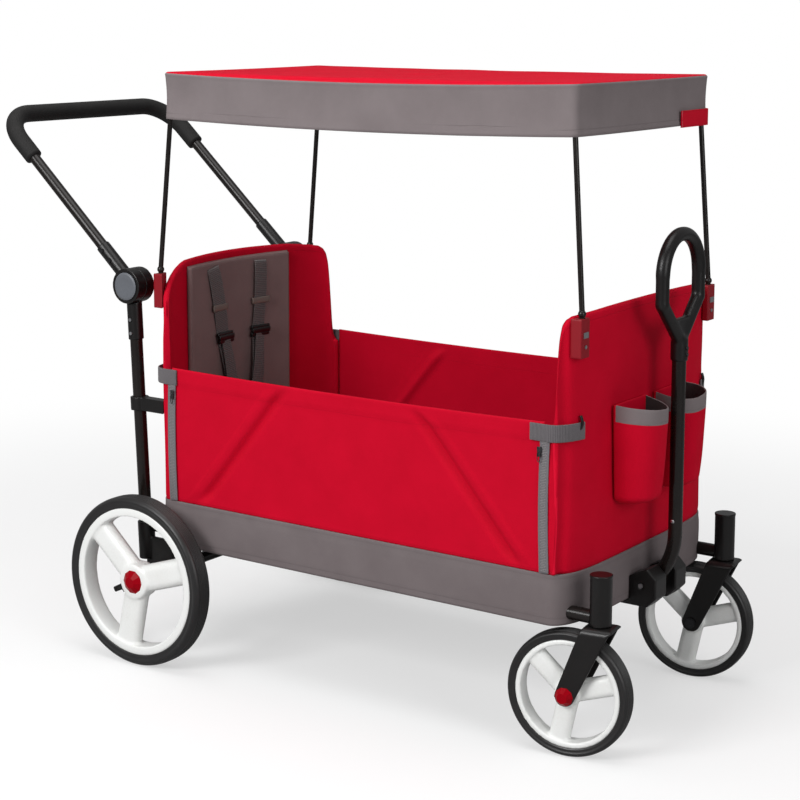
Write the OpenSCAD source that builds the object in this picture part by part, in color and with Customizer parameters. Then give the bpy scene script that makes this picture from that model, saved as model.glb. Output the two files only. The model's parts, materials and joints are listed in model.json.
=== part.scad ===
// Stroller wagon: a fabric bed on a tube frame, with a rear push handle, a front pull handle,
// two swivel casters, two large rear wheels, zip-off sides and a lift-off canopy.
// Millimetres, +X to the front, +Y to the left, +Z up, ground at zero.

/* [Bed] */
// Length of the bed over its square corners
bed_l = 806; // [780:1:830]
// Width of the bed over its side panels
bed_w = 492; // [472:1:510]
// Length over which the straight sides curve into the ends
bed_r = 22; // [18:1:28]
// Bulge of the front wall at its middle
front_bow = 17; // [10:1:24]
// Bulge of the rear wall at its middle
rear_bow = 50; // [40:1:56]
// Height of the bed's underside above the ground
base_z = 206; // [205:1:216]
// Height of the base band
base_h = 80; // [74:1:90]
// Thickness of the base band
band_t = 4; // [3:0.5:5]
// Thickness of the end walls
wall_t = 12; // [10:0.5:14]
// Height of the front wall above the base band
front_wall_h = 400; // [385:1:415]
// Height of the rear wall above the base band
rear_wall_h = 410; // [395:1:425]
// Width of the rounding at the walls' top corners
wall_round_w = 32; // [24:1:44]
// Height of the rounding at the walls' top corners
wall_round_h = 60; // [45:1:75]
// Height of the side panels at their ends, above the base band
side_h = 236; // [225:1:245]
// Drop of the side panels' top edge at mid-length
side_sag = 4; // [0:1:15]
// Thickness of the side panels
side_t = 6; // [4:0.5:8]
// Distance of the side panels' ends from the bed's corners
zip_inset = 30; // [26:1:40]
// Distance of the walls' upper ends from the zips
wing_inset = 18; // [10:1:22]
// Width of a zip strip
zip_w = 11; // [8:1:14]
// Height of a corner strap
strap_h = 27; // [20:1:32]
// Thickness of a corner strap
strap_t = 2; // [1.5:0.5:3]

/* [Floor] */
// Diameter of the floor rails and cross tubes
rail_d = 22; // [20:1:24]
// Height of the rail axis above the bed's underside
rail_rise = 18; // [14:1:20]
// Wall of the frame tubes
tube_wall = 1.6; // [1.2:0.2:2.4]
// Thickness of the floor board
board_t = 6; // [4:0.5:8]
// Thickness of the floor mat
mat_t = 14; // [10:1:18]

/* [Seats] */
// Width of a back pad
pad_w = 290; // [270:1:310]
// Thickness of a back pad
pad_t = 8; // [6:0.5:10]
// Width of the harness webbing
web_w = 36; // [28:1:40]
// Thickness of the harness webbing
web_t = 2; // [1.5:0.5:3]
// Distance between the shoulder straps
web_pitch = 137; // [124:1:146]

/* [Pockets] */
// Width of a pocket
pocket_w = 102; // [85:1:110]
// Height of a pocket
pocket_h = 156; // [130:1:170]
// Depth of a pocket from the wall
pocket_d = 62; // [50:1:70]
// Thickness of the pocket cloth
pocket_t = 2.5; // [2:0.5:4]
// Height of a pocket's bottom above the ground
pocket_z = 370; // [360:1:385]

/* [Wheels] */
// Share of a wheel's diameter taken by its rim
rim_share = 0.885; // [0.865:0.005:0.91]
// Turn of the spokes at rest, in degrees
spoke_turn = 102; // [0:1:119]

/* [Casters] */
// Distance of the caster stems in front of the front wall
stem_out = 39; // [32:1:50]
// Distance of the caster stems inside the bed's sides
stem_in = 30; // [24:1:41]
// Diameter of the stem housings
stem_d = 34; // [30:1:38]
// Height of the stem housings
stem_h = 80; // [70:1:95]
// Diameter of the stems that turn in the housings
kingpin_d = 16; // [12:1:18]
// Distance of the wheel axis behind the stem axis
caster_trail = 48; // [40:1:52]
// Turn of the casters at rest, in degrees
caster_turn = 8; // [0:1:20]
// Diameter of the front wheels
front_wheel_d = 200; // [190:1:202]
// Width of the front tyres
front_tyre_w = 32; // [28:1:36]
// Width of a fork leg
fork_w = 32; // [26:1:36]
// Thickness of a fork leg
fork_t = 6; // [4:0.5:8]

/* [Rear wheels] */
// Diameter of the rear wheels
rear_wheel_d = 300; // [290:1:306]
// Width of the rear tyres
rear_tyre_w = 38; // [32:1:42]
// Distance of the rear wheels' middle planes outside the bed's sides
wheel_out = 52; // [47:1:59]
// Distance of the rear axle behind the bed's square corners
axle_out = 5; // [0:1:11]
// Diameter of the rear axle between the wheels
axle_d = 20; // [16:1:22]
// Diameter of the rear axle inside the wheels
axle_end_d = 12; // [10:1:14]
// Length of a brake pedal from the axle to its tip
brake_l = 100; // [85:1:115]

/* [Push handle] */
// Distance of the knuckles behind the rear wall
knuckle_out = 25; // [17:1:37]
// Height of the knuckles
knuckle_z = 655; // [635:1:670]
// Distance of the uprights inside the bed's sides
upright_in = 23; // [18:1:28]
// Diameter of the uprights
upright_d = 22; // [20:1:24]
// Lean of the uprights, in degrees
upright_lean = 2.7; // [1:0.1:4]
// Diameter of the knuckles
knuckle_d = 62; // [56:1:68]
// Width of a knuckle, both halves
knuckle_w = 41; // [36:1:44]
// Diameter of the release buttons
button_d = 49; // [40:1:50]
// Travel of the release buttons
button_travel = 3; // [2:0.5:4]
// Length of the sleeves on the knuckles, from the knuckle axis
sleeve_l = 96; // [80:1:110]
// Distance from the knuckle axis to the middle of the cross bar
push_l = 430; // [415:1:450]
// Angle of the push handle above level, in degrees
push_angle = 42; // [36:1:48]
// Diameter of the push bar
push_d = 20; // [18:1:22]
// Bend radius of the push bar
push_bend = 68; // [56:1:80]
// Diameter of the foam grip
grip_d = 32; // [28:1:36]
// Length of the foam grip down each arm, from the cross bar
grip_arm = 112; // [90:1:140]

/* [Pull handle] */
// Distance of the pull tube in front of the front wall
pull_out = 53; // [50:1:60]
// Diameter of the pull tube
pull_d = 22.5; // [20:0.5:25]
// Distance of the pull handle's pivot in front of the front wall
pull_pivot_out = 21; // [18:1:26]
// Height of the pull handle's pivot
pull_pivot_z = 230; // [226:1:236]
// Height of the centre of the loop grip's upper arc
loop_z = 728; // [718:1:740]
// Radius of the loop grip's centre line round its upper arc
loop_r = 62; // [57:1:66]
// Length of the loop grip's straight sides
loop_l = 43; // [36:1:50]
// Thickness of the loop grip
loop_d = 23; // [20:1:26]
// Angle of the loop grip's lower legs to the tube, in degrees
loop_taper = 44; // [40:1:48]
// Length of the loop grip's neck
neck_l = 37; // [33:1:45]
// Diameter of the loop grip's neck
neck_d = 28; // [27:1:32]
// Width of the pull handle's bracket
bracket_w = 108; // [90:1:116]

/* [Canopy] */
// Length of the canopy beyond the bed's square corners, both ends together
canopy_over = 8; // [-4:1:24]
// Width by which the canopy is narrower than the bed
canopy_in = 46; // [38:1:54]
// Height of the canopy's lower edge
canopy_z = 950; // [940:1:965]
// Height of the canopy's valance
canopy_h = 80; // [65:1:95]
// Thickness of the canopy cloth
canopy_t = 3; // [2:0.5:4]
// Corner radius of the canopy
canopy_r = 14; // [8:1:20]
// Diameter of the canopy poles
pole_d = 8.5; // [7:0.5:10]
// Distance of the poles inside the bed's sides, at the sockets
pole_in = 32; // [28:1:38]
// Height of the sockets' top
socket_z = 680; // [670:1:690]
// Height of a socket
socket_h = 60; // [50:1:72]
// Width of a socket
socket_w = 26; // [22:1:34]

/* [Hidden] */
$fn = 48;

// Clearance between pieces that lie against each other
gap = 0.3;
// Radial clearance of running fits
run_gap = 0.05;
// Overrun of every cut
cut = 2;
left = 1;
right = -1;

red = "#c0142d";
grey = "#6f6867";
pad_grey = "#524a48";
black = "#1d1d1f";
silver = "#b9bbbf";
white = "#ecebe6";

// Bed outline: straight sides, ends that follow a power curve, a bowed rear
front_curve_power = 6;
rear_curve_power = 16;
bow_power = 2;
outline_steps = 20;
side_end = bed_l / 2 - bed_r;
base_top = base_z + base_h;
side_top = base_top + side_h;
panel_end = bed_l / 2 - zip_inset;
front_end = bed_l / 2 + front_bow;
rear_end = bed_l / 2 + rear_bow;

// Places that follow the bed's size
stem_x = front_end + stem_out;
stem_y = bed_w / 2 - stem_in;
axle_back = bed_l / 2 + axle_out;
knuckle_back = rear_end + knuckle_out;
upright_y = bed_w / 2 - upright_in;
pull_x = front_end + pull_out;
pull_pivot_x = front_end + pull_pivot_out;
canopy_l = bed_l + canopy_over;
canopy_w = bed_w - canopy_in;
pole_y = bed_w / 2 - pole_in;

function upright_at(z) = -knuckle_back + (knuckle_z - z) * tan(upright_lean);
function left_over(y, half, power) = max(0, 1 - pow(min(1, abs(y) / half), power));
function front_x(y, inset = 0) =
    side_end + (bed_r + front_bow - inset) * sqrt(left_over(y, bed_w / 2 - inset, front_curve_power));
function rear_x(y, inset = 0) =
    -side_end - (bed_r - inset) * sqrt(left_over(y, bed_w / 2 - inset, rear_curve_power))
    - rear_bow * left_over(y, bed_w / 2 - inset, bow_power);
function sweep_y(i, inset) = (bed_w / 2 - inset) * sin(180 * i / outline_steps - 90);
function outline_points(inset) = concat(
    [for (i = [0 : outline_steps]) [front_x(sweep_y(i, inset), inset), sweep_y(i, inset)]],
    [for (i = [outline_steps : -1 : 0]) [rear_x(sweep_y(i, inset), inset), sweep_y(i, inset)]]);

// Floor frame
rail_z = base_z + rail_rise;
board_z = rail_z + rail_d / 2;
mat_z = board_z + board_t;
mat_inset = wall_t + gap;
cross_share = 0.72;
brace_w = 20;
brace_t = 6;
brace_in = 73;
brace_run = 140;
brace_rear_x = brace_in - bed_l / 2;
brace_front_x = brace_rear_x + brace_run;
brace_drop = 1;
bolt_d = 8;

// Uprights and knuckles
axle_x = -axle_back;
axle_rear_z = rear_wheel_d / 2;
axle_front_z = front_wheel_d / 2;
knuckle_x = -knuckle_back;
sleeve_wall = 2.4;
half_split = gap;
button_cap_t = 6;
button_proud = 2.5;
button_floor = 1;
button_back = button_cap_t - button_proud + button_travel + button_floor;
pin_d = 10;
knuckle_y1 = upright_y + knuckle_w / 2;
knuckle_y0 = upright_y - knuckle_w / 2;
screw_d = 6;
screw_proud = 1;
screw_shares = [0.45, 0.82];
clamp_drop = 210;
clamp_z = knuckle_z - clamp_drop;
clamp_h = 24;
clamp_wall = 5;
clamp_arm_w = 20;

// Rear brackets
bracket_wall = 4;
bracket_sleeve_top = 26;
bracket_sleeve_foot = 14;
web_thick = 10;
axle_boss_d = 36;
axle_boss_w = 30;
web_front = 16;
web_clear = 1;

// Wheels
shoulder_r = 6;
groove_w = 1.6;
groove_d = 1;
groove_pitch = 6;
tyre_seat = 3;
rim_deep_share = 0.13;
spoke_count = 3;
front_rim_d = front_wheel_d * rim_share;
rear_rim_d = rear_wheel_d * rim_share;
rear_spoke_w = 48;
rear_spoke_t = 28;
rear_hub_d = 62;
rear_hub_w = 34;
front_spoke_w = 34;
front_spoke_t = 22;
front_hub_d = 40;
front_hub_w = 34;
hub_cap_d = 42;
hub_cap_t = 8;
hub_cap_facets = 10;
hub_cap_top_share = 0.45;
rear_wheel_y = bed_w / 2 + wheel_out;
axle_end_in = 3;
axle_half = rear_wheel_y + rear_hub_w / 2 - axle_end_in;
shoulder_play = 1;
axle_shoulder = rear_wheel_y - rear_hub_w / 2 - shoulder_play;

// Casters
stem_z = rail_z - rail_d / 2;
swivel_gap = 0.5;
crown_z = stem_z - swivel_gap;
crown_t = 9;
crown_back = 22;
crown_front = 20;
crown_nose = 6;
fork_gap = 4;
fork_in = front_tyre_w / 2 + fork_gap;
fork_out = fork_in + fork_t;
fork_reach = caster_trail + fork_w;
fork_shoulder = 12;
wheel_bolt_d = 10;
bolt_head_d = 17;
bolt_head_t = 4;
cap_d = 30;
cap_t = 9;
cap_top_share = 0.55;
stem_cap_t = 3;
stem_cap_lip = 0.8;
kingpin_roof = 12;
kingpin_top = stem_h - kingpin_roof;

// Brake pedals
brake_ring_wall = 5;
brake_w = 20;
brake_gap = 14;
brake_y = upright_y + axle_boss_w / 2 + brake_gap;
brake_angle = 28;
brake_arm_h = 12;
brake_arm_w = 14;
brake_pad_l = 26;
brake_pad_h = 10;
brake_pad_w = 30;

// Pull handle
pull_bend = 112;
pull_straight = 418;
pull_bend_z = loop_z - pull_straight;
pivot_bore_d = 8;
barrel_d = 27;
cheek_in = 16;
bracket_back = 60;
bracket_front = 27;
bracket_low = 34;
bracket_high = 30;
bracket_foot_t = 9;
bracket_bevel = 16;
loop_foot_z = loop_z - loop_l - loop_r / tan(loop_taper);
leg_slim = 1;
leg_run_in = 3;
loop_web_h = 37;
loop_web_t = 14;
neck_rise = 4;
neck_top = loop_foot_z + neck_rise;
neck_tip = 12;
neck_tip_share = 0.45;
neck_solid = 10;
pull_top = neck_top - neck_solid;

// Canopy
pole_r = pole_d / 2;
socket_back = 3;
socket_front = 6.5;
socket_floor = 6;
pole_play = 0.1;
pole_front_x = front_x(pole_y) + socket_back + pole_r;
pole_rear_x = rear_x(pole_y) - socket_back - pole_r;
stop_wall = 2;
stop_d = pole_d + 2 * stop_wall;
stop_z = socket_z + gap + stop_d / 2;
seam_turn = 45;
canopy_x = 2;
pole_inset = 11;
frame_d = 8;
canopy_top = canopy_z + canopy_h;
frame_z = canopy_top - canopy_t - gap - frame_d / 2;
corner_joint = 20;
corner_joint_h = 34;
corner_joint_roof = 0.2;
pole_top_y = canopy_w / 2 - canopy_t - pole_inset;
pole_top_front_x = canopy_x + canopy_l / 2 - canopy_t - pole_inset;
pole_top_rear_x = canopy_x - canopy_l / 2 + canopy_t + pole_inset;
clip_w = 14;
clip_h = 9;
clip_t = 1.5;
clip_drop = 25;
rivet_d = 6;
rivet_t = 1.5;
rivet_drop = 43;

// Side panels
panel_steps = 16;
zip_t = 2;
zip_drop = 38;
zip_top = side_top - zip_drop;
strap_drop = 9;
strap_side = 30;
strap_front_y = 195;
strap_rear_y = 190;
strap_reach = 60;
slider_w = 8;
slider_h = 16;
slider_t = 4;
hinge_z = base_top + gap;

// Harness
web_top = 24;
web_foot_rise = 100;
web_foot_z = base_top + web_foot_rise;
web_foot_y = 30;
lap_rise = 30;
lap_z = base_top + lap_rise;
lap_len = 78;
crotch_rise = 8;
crotch_z = mat_z + mat_t + crotch_rise;
buckle_w = 46;
buckle_h = 52;
buckle_t = 14;
slider_frame = 4;
slider_share = 0.26;
ladder_share = 0.45;
ladder_h = 26;
glide_h = 12;
pad_drop = 13;
pad_foot = 8;

// Pocket places
pocket_y = 16;
pocket_r = 26;

// Overall reach, which sets the origin at the middle of the part's length
front_reach = stem_x - caster_trail * cos(caster_turn)
    + (front_wheel_d / 2 - shoulder_r) * cos(caster_turn)
    + (front_tyre_w / 2 - shoulder_r) * sin(caster_turn) + shoulder_r;
rear_reach = knuckle_back + push_l * cos(push_angle) + grip_d / 2;
mid_x = (front_reach - rear_reach) / 2;

module in_place() {
    translate([-mid_x, 0, 0]) children();
}

// Draws what is modelled on the left, or its mirror image on the right
module on_side(side) {
    if (side == left) children();
    else mirror([0, 1, 0]) children();
}

module both_sides() {
    for (side = [left, right]) on_side(side) children();
}

module outline(inset) {
    polygon(outline_points(inset));
}

module ring_of_bed(inset, thick, z, h) {
    translate([0, 0, z]) linear_extrude(h) difference() {
        outline(inset);
        outline(inset + thick);
    }
}

// A bar along X, Y or Z between two stations
module bar_x(d, x0, x1, y, z) {
    translate([x0, y, z]) rotate([0, 90, 0]) cylinder(d = d, h = x1 - x0);
}

module bar_y(d, y0, y1, x, z) {
    translate([x, y0, z]) rotate([-90, 0, 0]) cylinder(d = d, h = y1 - y0);
}

module block(x0, x1, y0, y1, z0, z1) {
    translate([x0, y0, z0]) cube([x1 - x0, y1 - y0, z1 - z0]);
}

// Frame of an upright: origin on the knuckle axis, Z along the tube
module upright_frame() {
    translate([knuckle_x, upright_y, knuckle_z]) rotate([0, -upright_lean, 0]) children();
}

// Frame of a push arm: origin on the knuckle axis, Z along the arm
module push_frame() {
    translate([knuckle_x, 0, knuckle_z]) rotate([0, push_angle - 90, 0]) children();
}

// Frame of a caster: origin on the ground under its stem, turned as it rests
module caster_frame(side) {
    translate([stem_x, side * stem_y, 0]) rotate([0, 0, caster_turn]) children();
}

// Floor

module rail_shape(d) {
    difference() {
        bar_x(d, knuckle_x, stem_x, stem_y, rail_z);
        translate([stem_x, stem_y, stem_z - cut]) cylinder(d = stem_d + 2 * gap, h = stem_h);
        upright_frame() translate([0, 0, -knuckle_z])
            cylinder(d = upright_d + 2 * run_gap + 2 * bracket_wall + 2 * gap, h = knuckle_z);
        block(knuckle_x - cut, upright_at(rail_z) + upright_d / 2, 0, bed_w, base_z, base_top);
    }
}

module floor_rails() {
    color(black) in_place() both_sides() difference() {
        rail_shape(rail_d);
        bar_x(rail_d - 2 * tube_wall, knuckle_x - cut, stem_x + cut, stem_y, rail_z);
    }
}

module brace(lower) {
    run = [brace_front_x - brace_rear_x, 2 * stem_y];
    z = stem_z - brace_drop - brace_t - (lower ? brace_t + gap : 0);
    difference() {
        translate([(brace_front_x + brace_rear_x) / 2, 0, z])
            rotate([0, 0, atan2(run[1], run[0]) * (lower ? -1 : 1)])
            translate([-norm(run) / 2 - brace_w / 2, -brace_w / 2, 0])
            cube([norm(run) + brace_w, brace_w, brace_t]);
        brace_bolts(bolt_d + 2 * pole_play);
    }
}

module brace_bolts(d) {
    z0 = stem_z - brace_drop - 2 * brace_t - gap;
    for (x = [brace_front_x, brace_rear_x]) for (y = [-stem_y, stem_y])
        translate([x, y, z0]) cylinder(d = d, h = stem_z - z0 - pole_play);
    translate([(brace_front_x + brace_rear_x) / 2, 0, z0])
        cylinder(d = d, h = stem_z - brace_drop - z0);
}

module floor_cross_tubes() {
    color(black) in_place() {
        for (i = [-1 : 1]) difference() {
            y = stem_y - rail_d / 2 - gap;
            bar_y(rail_d, -y, y, i * side_end * cross_share, rail_z);
            bar_y(rail_d - 2 * tube_wall, -y - cut, y + cut, i * side_end * cross_share, rail_z);
        }
        brace(true);
        brace(false);
    }
}

module floor_board() {
    color(black) in_place() translate([0, 0, board_z]) linear_extrude(board_t) outline(band_t + gap);
}

module floor_mat() {
    color(pad_grey) in_place() translate([0, 0, mat_z]) linear_extrude(mat_t) outline(mat_inset);
}

module base_band() {
    color(grey) in_place() difference() {
        ring_of_bed(0, band_t, base_z, base_h);
        both_sides() bar_x(rail_d + 2 * gap, knuckle_x, stem_x, stem_y, rail_z);
    }
}

// End walls

function wall_arc(i, half, top, side) = [
    side * (half - wall_round_w + wall_round_w * sin(90 * i / outline_steps)),
    top - wall_round_h + wall_round_h * cos(90 * i / outline_steps)];

module wall_profile(half, top) {
    polygon(concat([[half, base_top]],
        [for (i = [outline_steps : -2 : 0]) wall_arc(i, half, top, left)],
        [for (i = [0 : 2 : outline_steps]) wall_arc(i, half, top, right)],
        [[-half, base_top]]));
}

// Above the corner straps a wall ends short of the zip
module wall(top, facing) {
    reach = rear_end + cut;
    wing_end = panel_end + wing_inset;
    difference() {
        intersection() {
            ring_of_bed(0, wall_t, base_top, top - base_top);
            rotate([90, 0, 90]) translate([0, 0, facing > 0 ? panel_end + gap : -reach])
                linear_extrude(reach - panel_end - gap) wall_profile(bed_w / 2, top);
        }
        block(-wing_end, wing_end, -bed_w, bed_w, side_top - strap_drop - strap_h / 2, top + cut);
    }
}

module front_wall() {
    color(red) in_place() wall(base_top + front_wall_h, 1);
}

module rear_wall() {
    color(red) in_place() wall(base_top + rear_wall_h, -1);
}

module back_pad(wall_h, facing) {
    z0 = mat_z + mat_t + pad_foot;
    intersection() {
        ring_of_bed(wall_t + gap, pad_t, z0, base_top + wall_h - pad_drop - z0);
        block(facing > 0 ? side_end : -rear_end, facing > 0 ? rear_end : -side_end,
            -pad_w / 2, pad_w / 2, z0, base_top + wall_h);
    }
}

module front_pad() {
    color(pad_grey) in_place() back_pad(front_wall_h, 1);
}

module rear_pad() {
    color(pad_grey) in_place() back_pad(rear_wall_h, -1);
}

// Harness of the rear seat, or of the front seat where facing is 1

pad_face = wall_t + 2 * gap + pad_t;

// A shape in Y and Z laid on the face of a pad, from a depth off the face
module on_pad(facing, depth, thick) {
    intersection() {
        ring_of_bed(pad_face + depth, thick, mat_z, rear_wall_h + base_top - mat_z);
        rotate([90, 0, 90]) translate([0, 0, facing > 0 ? side_end : -bed_l])
            linear_extrude(bed_l - side_end) children();
    }
}

function seat_top(facing) = base_top + (facing > 0 ? front_wall_h : rear_wall_h) - web_top;
function web_y(share) = web_pitch / 2 * (1 - share) + web_foot_y * share;
function web_z(share, facing) = seat_top(facing) + (web_foot_z - seat_top(facing)) * share;

// A rectangle of the harness on the left strap, centred on a point
module web_patch(y, z, w, h) {
    translate([y - w / 2, z - h / 2]) square([w, h]);
}

module webbing_plan(facing) {
    for (side = [left, right]) {
        polygon([[side * (web_pitch - web_w) / 2, seat_top(facing)],
            [side * (web_foot_y - web_w / 2), web_foot_z],
            [side * (web_foot_y + web_w / 2), web_foot_z],
            [side * (web_pitch + web_w) / 2, seat_top(facing)]]);
        web_patch(side * (buckle_w / 2 + gap + lap_len / 2), lap_z, lap_len, web_w);
    }
    foot_h = lap_z - buckle_h / 2 - gap - crotch_z;
    web_patch(0, crotch_z + foot_h / 2, web_w, foot_h);
}

module harness_webbing() {
    color(black) in_place() for (facing = [-1, 1]) on_pad(facing, 0, web_t) webbing_plan(facing);
}

module adjusters_plan(facing, w) {
    for (side = [left, right]) {
        web_patch(side * web_y(slider_share), web_z(slider_share, facing), w, glide_h);
        web_patch(side * web_y(ladder_share), web_z(ladder_share, facing), w, ladder_h);
    }
}

// Strap adjusters that straddle the webbing, and the buckle
module harness_hardware() {
    slot = web_w + 2 * slider_frame;
    color(black) in_place() for (facing = [-1, 1]) {
        on_pad(facing, 0, web_t + slider_frame) difference() {
            adjusters_plan(facing, slot + 2 * slider_frame);
            adjusters_plan(facing, slot);
        }
        on_pad(facing, web_t + gap, slider_frame - gap) adjusters_plan(facing, slot);
        on_pad(facing, 0, buckle_t) web_patch(0, lap_z, buckle_w, buckle_h);
    }
}

// Front pockets

module pocket_plan(inset) {
    x0 = front_x(pocket_y + pocket_w, 0) + inset;
    x1 = front_x(0) + pocket_d - inset;
    y0 = pocket_y + inset;
    y1 = pocket_y + pocket_w - inset;
    r = pocket_r - inset;
    translate([x0, y0]) square([x1 - r - x0, y1 - y0]);
    translate([x0, y0 + r]) square([x1 - x0, y1 - y0 - 2 * r]);
    for (y = [y0 + r, y1 - r]) translate([x1 - r, y]) circle(r = r);
}

module pockets() {
    color(red) in_place() both_sides() difference() {
        translate([0, 0, pocket_z]) linear_extrude(pocket_h) pocket_plan(0);
        translate([0, 0, pocket_z + pocket_t]) linear_extrude(pocket_h) difference() {
            pocket_plan(pocket_t);
            outline(-gap - pocket_t);
        }
        translate([0, 0, pocket_z - cut]) linear_extrude(pocket_h + 2 * cut) outline(-gap);
    }
}

// Canopy sockets and the fastenings on them

module socket(x, facing) {
    z0 = socket_z - socket_h;
    socket_in = bed_r + pole_d;
    difference() {
        block(x - (facing > 0 ? socket_in : socket_front), x + (facing > 0 ? socket_front : socket_in),
            pole_y - socket_w / 2, pole_y + socket_w / 2, z0, socket_z);
        translate([0, 0, z0 - cut]) linear_extrude(socket_h + 2 * cut) outline(-gap);
        translate([x, pole_y, z0 + socket_floor]) cylinder(d = pole_d + 2 * pole_play, h = socket_h);
    }
}

module pole_sockets() {
    color(red) in_place() both_sides() {
        socket(pole_front_x, 1);
        socket(pole_rear_x, -1);
    }
}

module socket_fastenings(x, facing) {
    x0 = facing > 0 ? x + socket_front : x - socket_front - clip_t;
    block(x0, x0 + clip_t, pole_y - clip_w / 2, pole_y + clip_w / 2,
        socket_z - clip_drop - clip_h / 2, socket_z - clip_drop + clip_h / 2);
    bar_x(rivet_d, x0, x0 + rivet_t, pole_y, socket_z - rivet_drop);
}

// Caster housings, rear brackets and axle

module stem_housings() {
    color(black) in_place() both_sides() translate([stem_x, stem_y, stem_z]) difference() {
        union() {
            cylinder(d = stem_d, h = stem_h);
            translate([0, 0, stem_h - stem_cap_t])
                cylinder(d = stem_d + 2 * stem_cap_lip, h = stem_cap_t);
        }
        translate([0, 0, -cut])
            cylinder(d = kingpin_d + 2 * run_gap, h = kingpin_top + cut + 2 * gap);
    }
}

module bracket_web() {
    z1 = base_z - web_clear;
    z0 = axle_rear_z - axle_boss_d / 2;
    x0 = upright_at(axle_rear_z);
    x1 = axle_x + web_front;
    translate([0, upright_y + web_thick / 2, 0]) rotate([90, 0, 0]) linear_extrude(web_thick)
        polygon([[x0, z1], [x1, z1], [x1, z0], [axle_x, z0], [x0, axle_rear_z]]);
}

module rear_brackets() {
    sleeve_d = upright_d + 2 * run_gap + 2 * bracket_wall;
    top = base_z + bracket_sleeve_top - knuckle_z;
    foot = axle_rear_z - knuckle_z + bracket_sleeve_foot;
    color(black) in_place() both_sides() difference() {
        union() {
            bracket_web();
            bar_y(axle_boss_d, upright_y - axle_boss_w / 2, upright_y + axle_boss_w / 2,
                axle_x, axle_rear_z);
            upright_frame() translate([0, 0, foot]) cylinder(d = sleeve_d, h = top - foot);
        }
        upright_frame() translate([0, 0, foot + bracket_wall])
            cylinder(d = upright_d + 2 * run_gap, h = top - foot);
        bar_y(axle_d + 2 * run_gap, upright_y - axle_boss_w, upright_y + axle_boss_w,
            axle_x, axle_rear_z);
    }
}

module rear_axle() {
    color(black) in_place() {
        bar_y(axle_d, -axle_shoulder, axle_shoulder, axle_x, axle_rear_z);
        bar_y(axle_end_d, -axle_half, axle_half, axle_x, axle_rear_z);
    }
}

// Uprights and the lower knuckle halves

module uprights() {
    foot = axle_rear_z - knuckle_z + bracket_sleeve_foot + bracket_wall + gap;
    top = -knuckle_d / 2 - screw_d;
    color(black) in_place() both_sides() upright_frame() difference() {
        translate([0, 0, foot]) cylinder(d = upright_d, h = top - foot);
        translate([0, 0, foot - cut]) cylinder(d = upright_d - 2 * tube_wall, h = top - foot + 2 * cut);
    }
}

module upright_clamps() {
    z = clamp_z - knuckle_z;
    ring_d_out = upright_d + 2 * run_gap + 2 * clamp_wall;
    color(black) in_place() both_sides() difference() {
        union() {
            upright_frame() translate([0, 0, z - clamp_h / 2]) cylinder(d = ring_d_out, h = clamp_h);
            block(knuckle_x + upright_d, -side_end,
                upright_y - clamp_arm_w / 2, upright_y + clamp_arm_w / 2,
                clamp_z - clamp_h / 2 + gap, clamp_z + clamp_h / 2 - gap);
        }
        upright_frame() translate([0, 0, z - clamp_h])
            cylinder(d = upright_d + 2 * run_gap, h = 2 * clamp_h);
        translate([0, 0, clamp_z - clamp_h]) linear_extrude(2 * clamp_h) outline(-gap);
    }
}

// Sleeve that takes a tube of diameter d, along -Z or +Z of its own frame
module sleeve(d, up) {
    translate([0, 0, up ? 0 : -sleeve_l]) cylinder(d = d + 2 * run_gap + 2 * sleeve_wall, h = sleeve_l);
}

module sleeve_bore(d, up) {
    start = knuckle_d / 2 + screw_d - gap;
    translate([0, 0, up ? start : -sleeve_l - cut])
        cylinder(d = d + 2 * run_gap, h = sleeve_l - start + cut);
}

// Two screws through the outer wall of a sleeve
module sleeve_screws(d, up, hole_d, depth) {
    for (share = screw_shares) {
        s = knuckle_d / 2 + (sleeve_l - knuckle_d / 2) * share;
        bar_y(hole_d, d / 2 + run_gap + gap, d / 2 + run_gap + sleeve_wall + depth, 0, up ? s : -s);
    }
}

module knuckle_bases() {
    color(black) in_place() both_sides() difference() {
        union() {
            bar_y(knuckle_d, knuckle_y0, upright_y - half_split / 2, knuckle_x, knuckle_z);
            upright_frame() sleeve(upright_d, false);
        }
        bar_y(knuckle_d + 2 * gap, upright_y - half_split / 2, knuckle_y1 + cut, knuckle_x, knuckle_z);
        upright_frame() sleeve_bore(upright_d, false);
        upright_frame() sleeve_screws(upright_d, false, screw_d + 2 * pole_play, sleeve_wall);
        bar_y(pin_d + 2 * pole_play, knuckle_y0 + sleeve_wall, knuckle_y1 + cut, knuckle_x, knuckle_z);
    }
}

module knuckle_pin() {
    bar_y(pin_d, knuckle_y0 + sleeve_wall + pole_play, knuckle_y1 - button_back - sleeve_wall - gap,
        knuckle_x, knuckle_z);
}

module knuckle_arms() {
    color(black) in_place() both_sides() difference() {
        union() {
            bar_y(knuckle_d, upright_y + half_split / 2, knuckle_y1, knuckle_x, knuckle_z);
            push_frame() translate([0, upright_y, 0]) sleeve(push_d, true);
        }
        bar_y(knuckle_d + 2 * gap, knuckle_y0 - cut, upright_y + half_split / 2, knuckle_x, knuckle_z);
        push_frame() translate([0, upright_y, 0]) sleeve_bore(push_d, true);
        push_frame() translate([0, upright_y, 0])
            sleeve_screws(push_d, true, screw_d + 2 * pole_play, sleeve_wall);
        bar_y(button_d + 2 * gap, knuckle_y1 - button_back, knuckle_y1 + cut, knuckle_x, knuckle_z);
        bar_y(pin_d + 2 * run_gap, upright_y - cut, knuckle_y1 - button_back - sleeve_wall,
            knuckle_x, knuckle_z);
    }
}

module knuckle_button(side) {
    y1 = knuckle_y1 + button_proud;
    color(grey) in_place() on_side(side) bar_y(button_d, y1 - button_cap_t, y1, knuckle_x, knuckle_z);
}

module push_handle_screws() {
    color(silver) in_place() both_sides() push_frame() translate([0, upright_y, 0])
        sleeve_screws(push_d, true, screw_d, screw_proud);
}

// Push bar and grip

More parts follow.
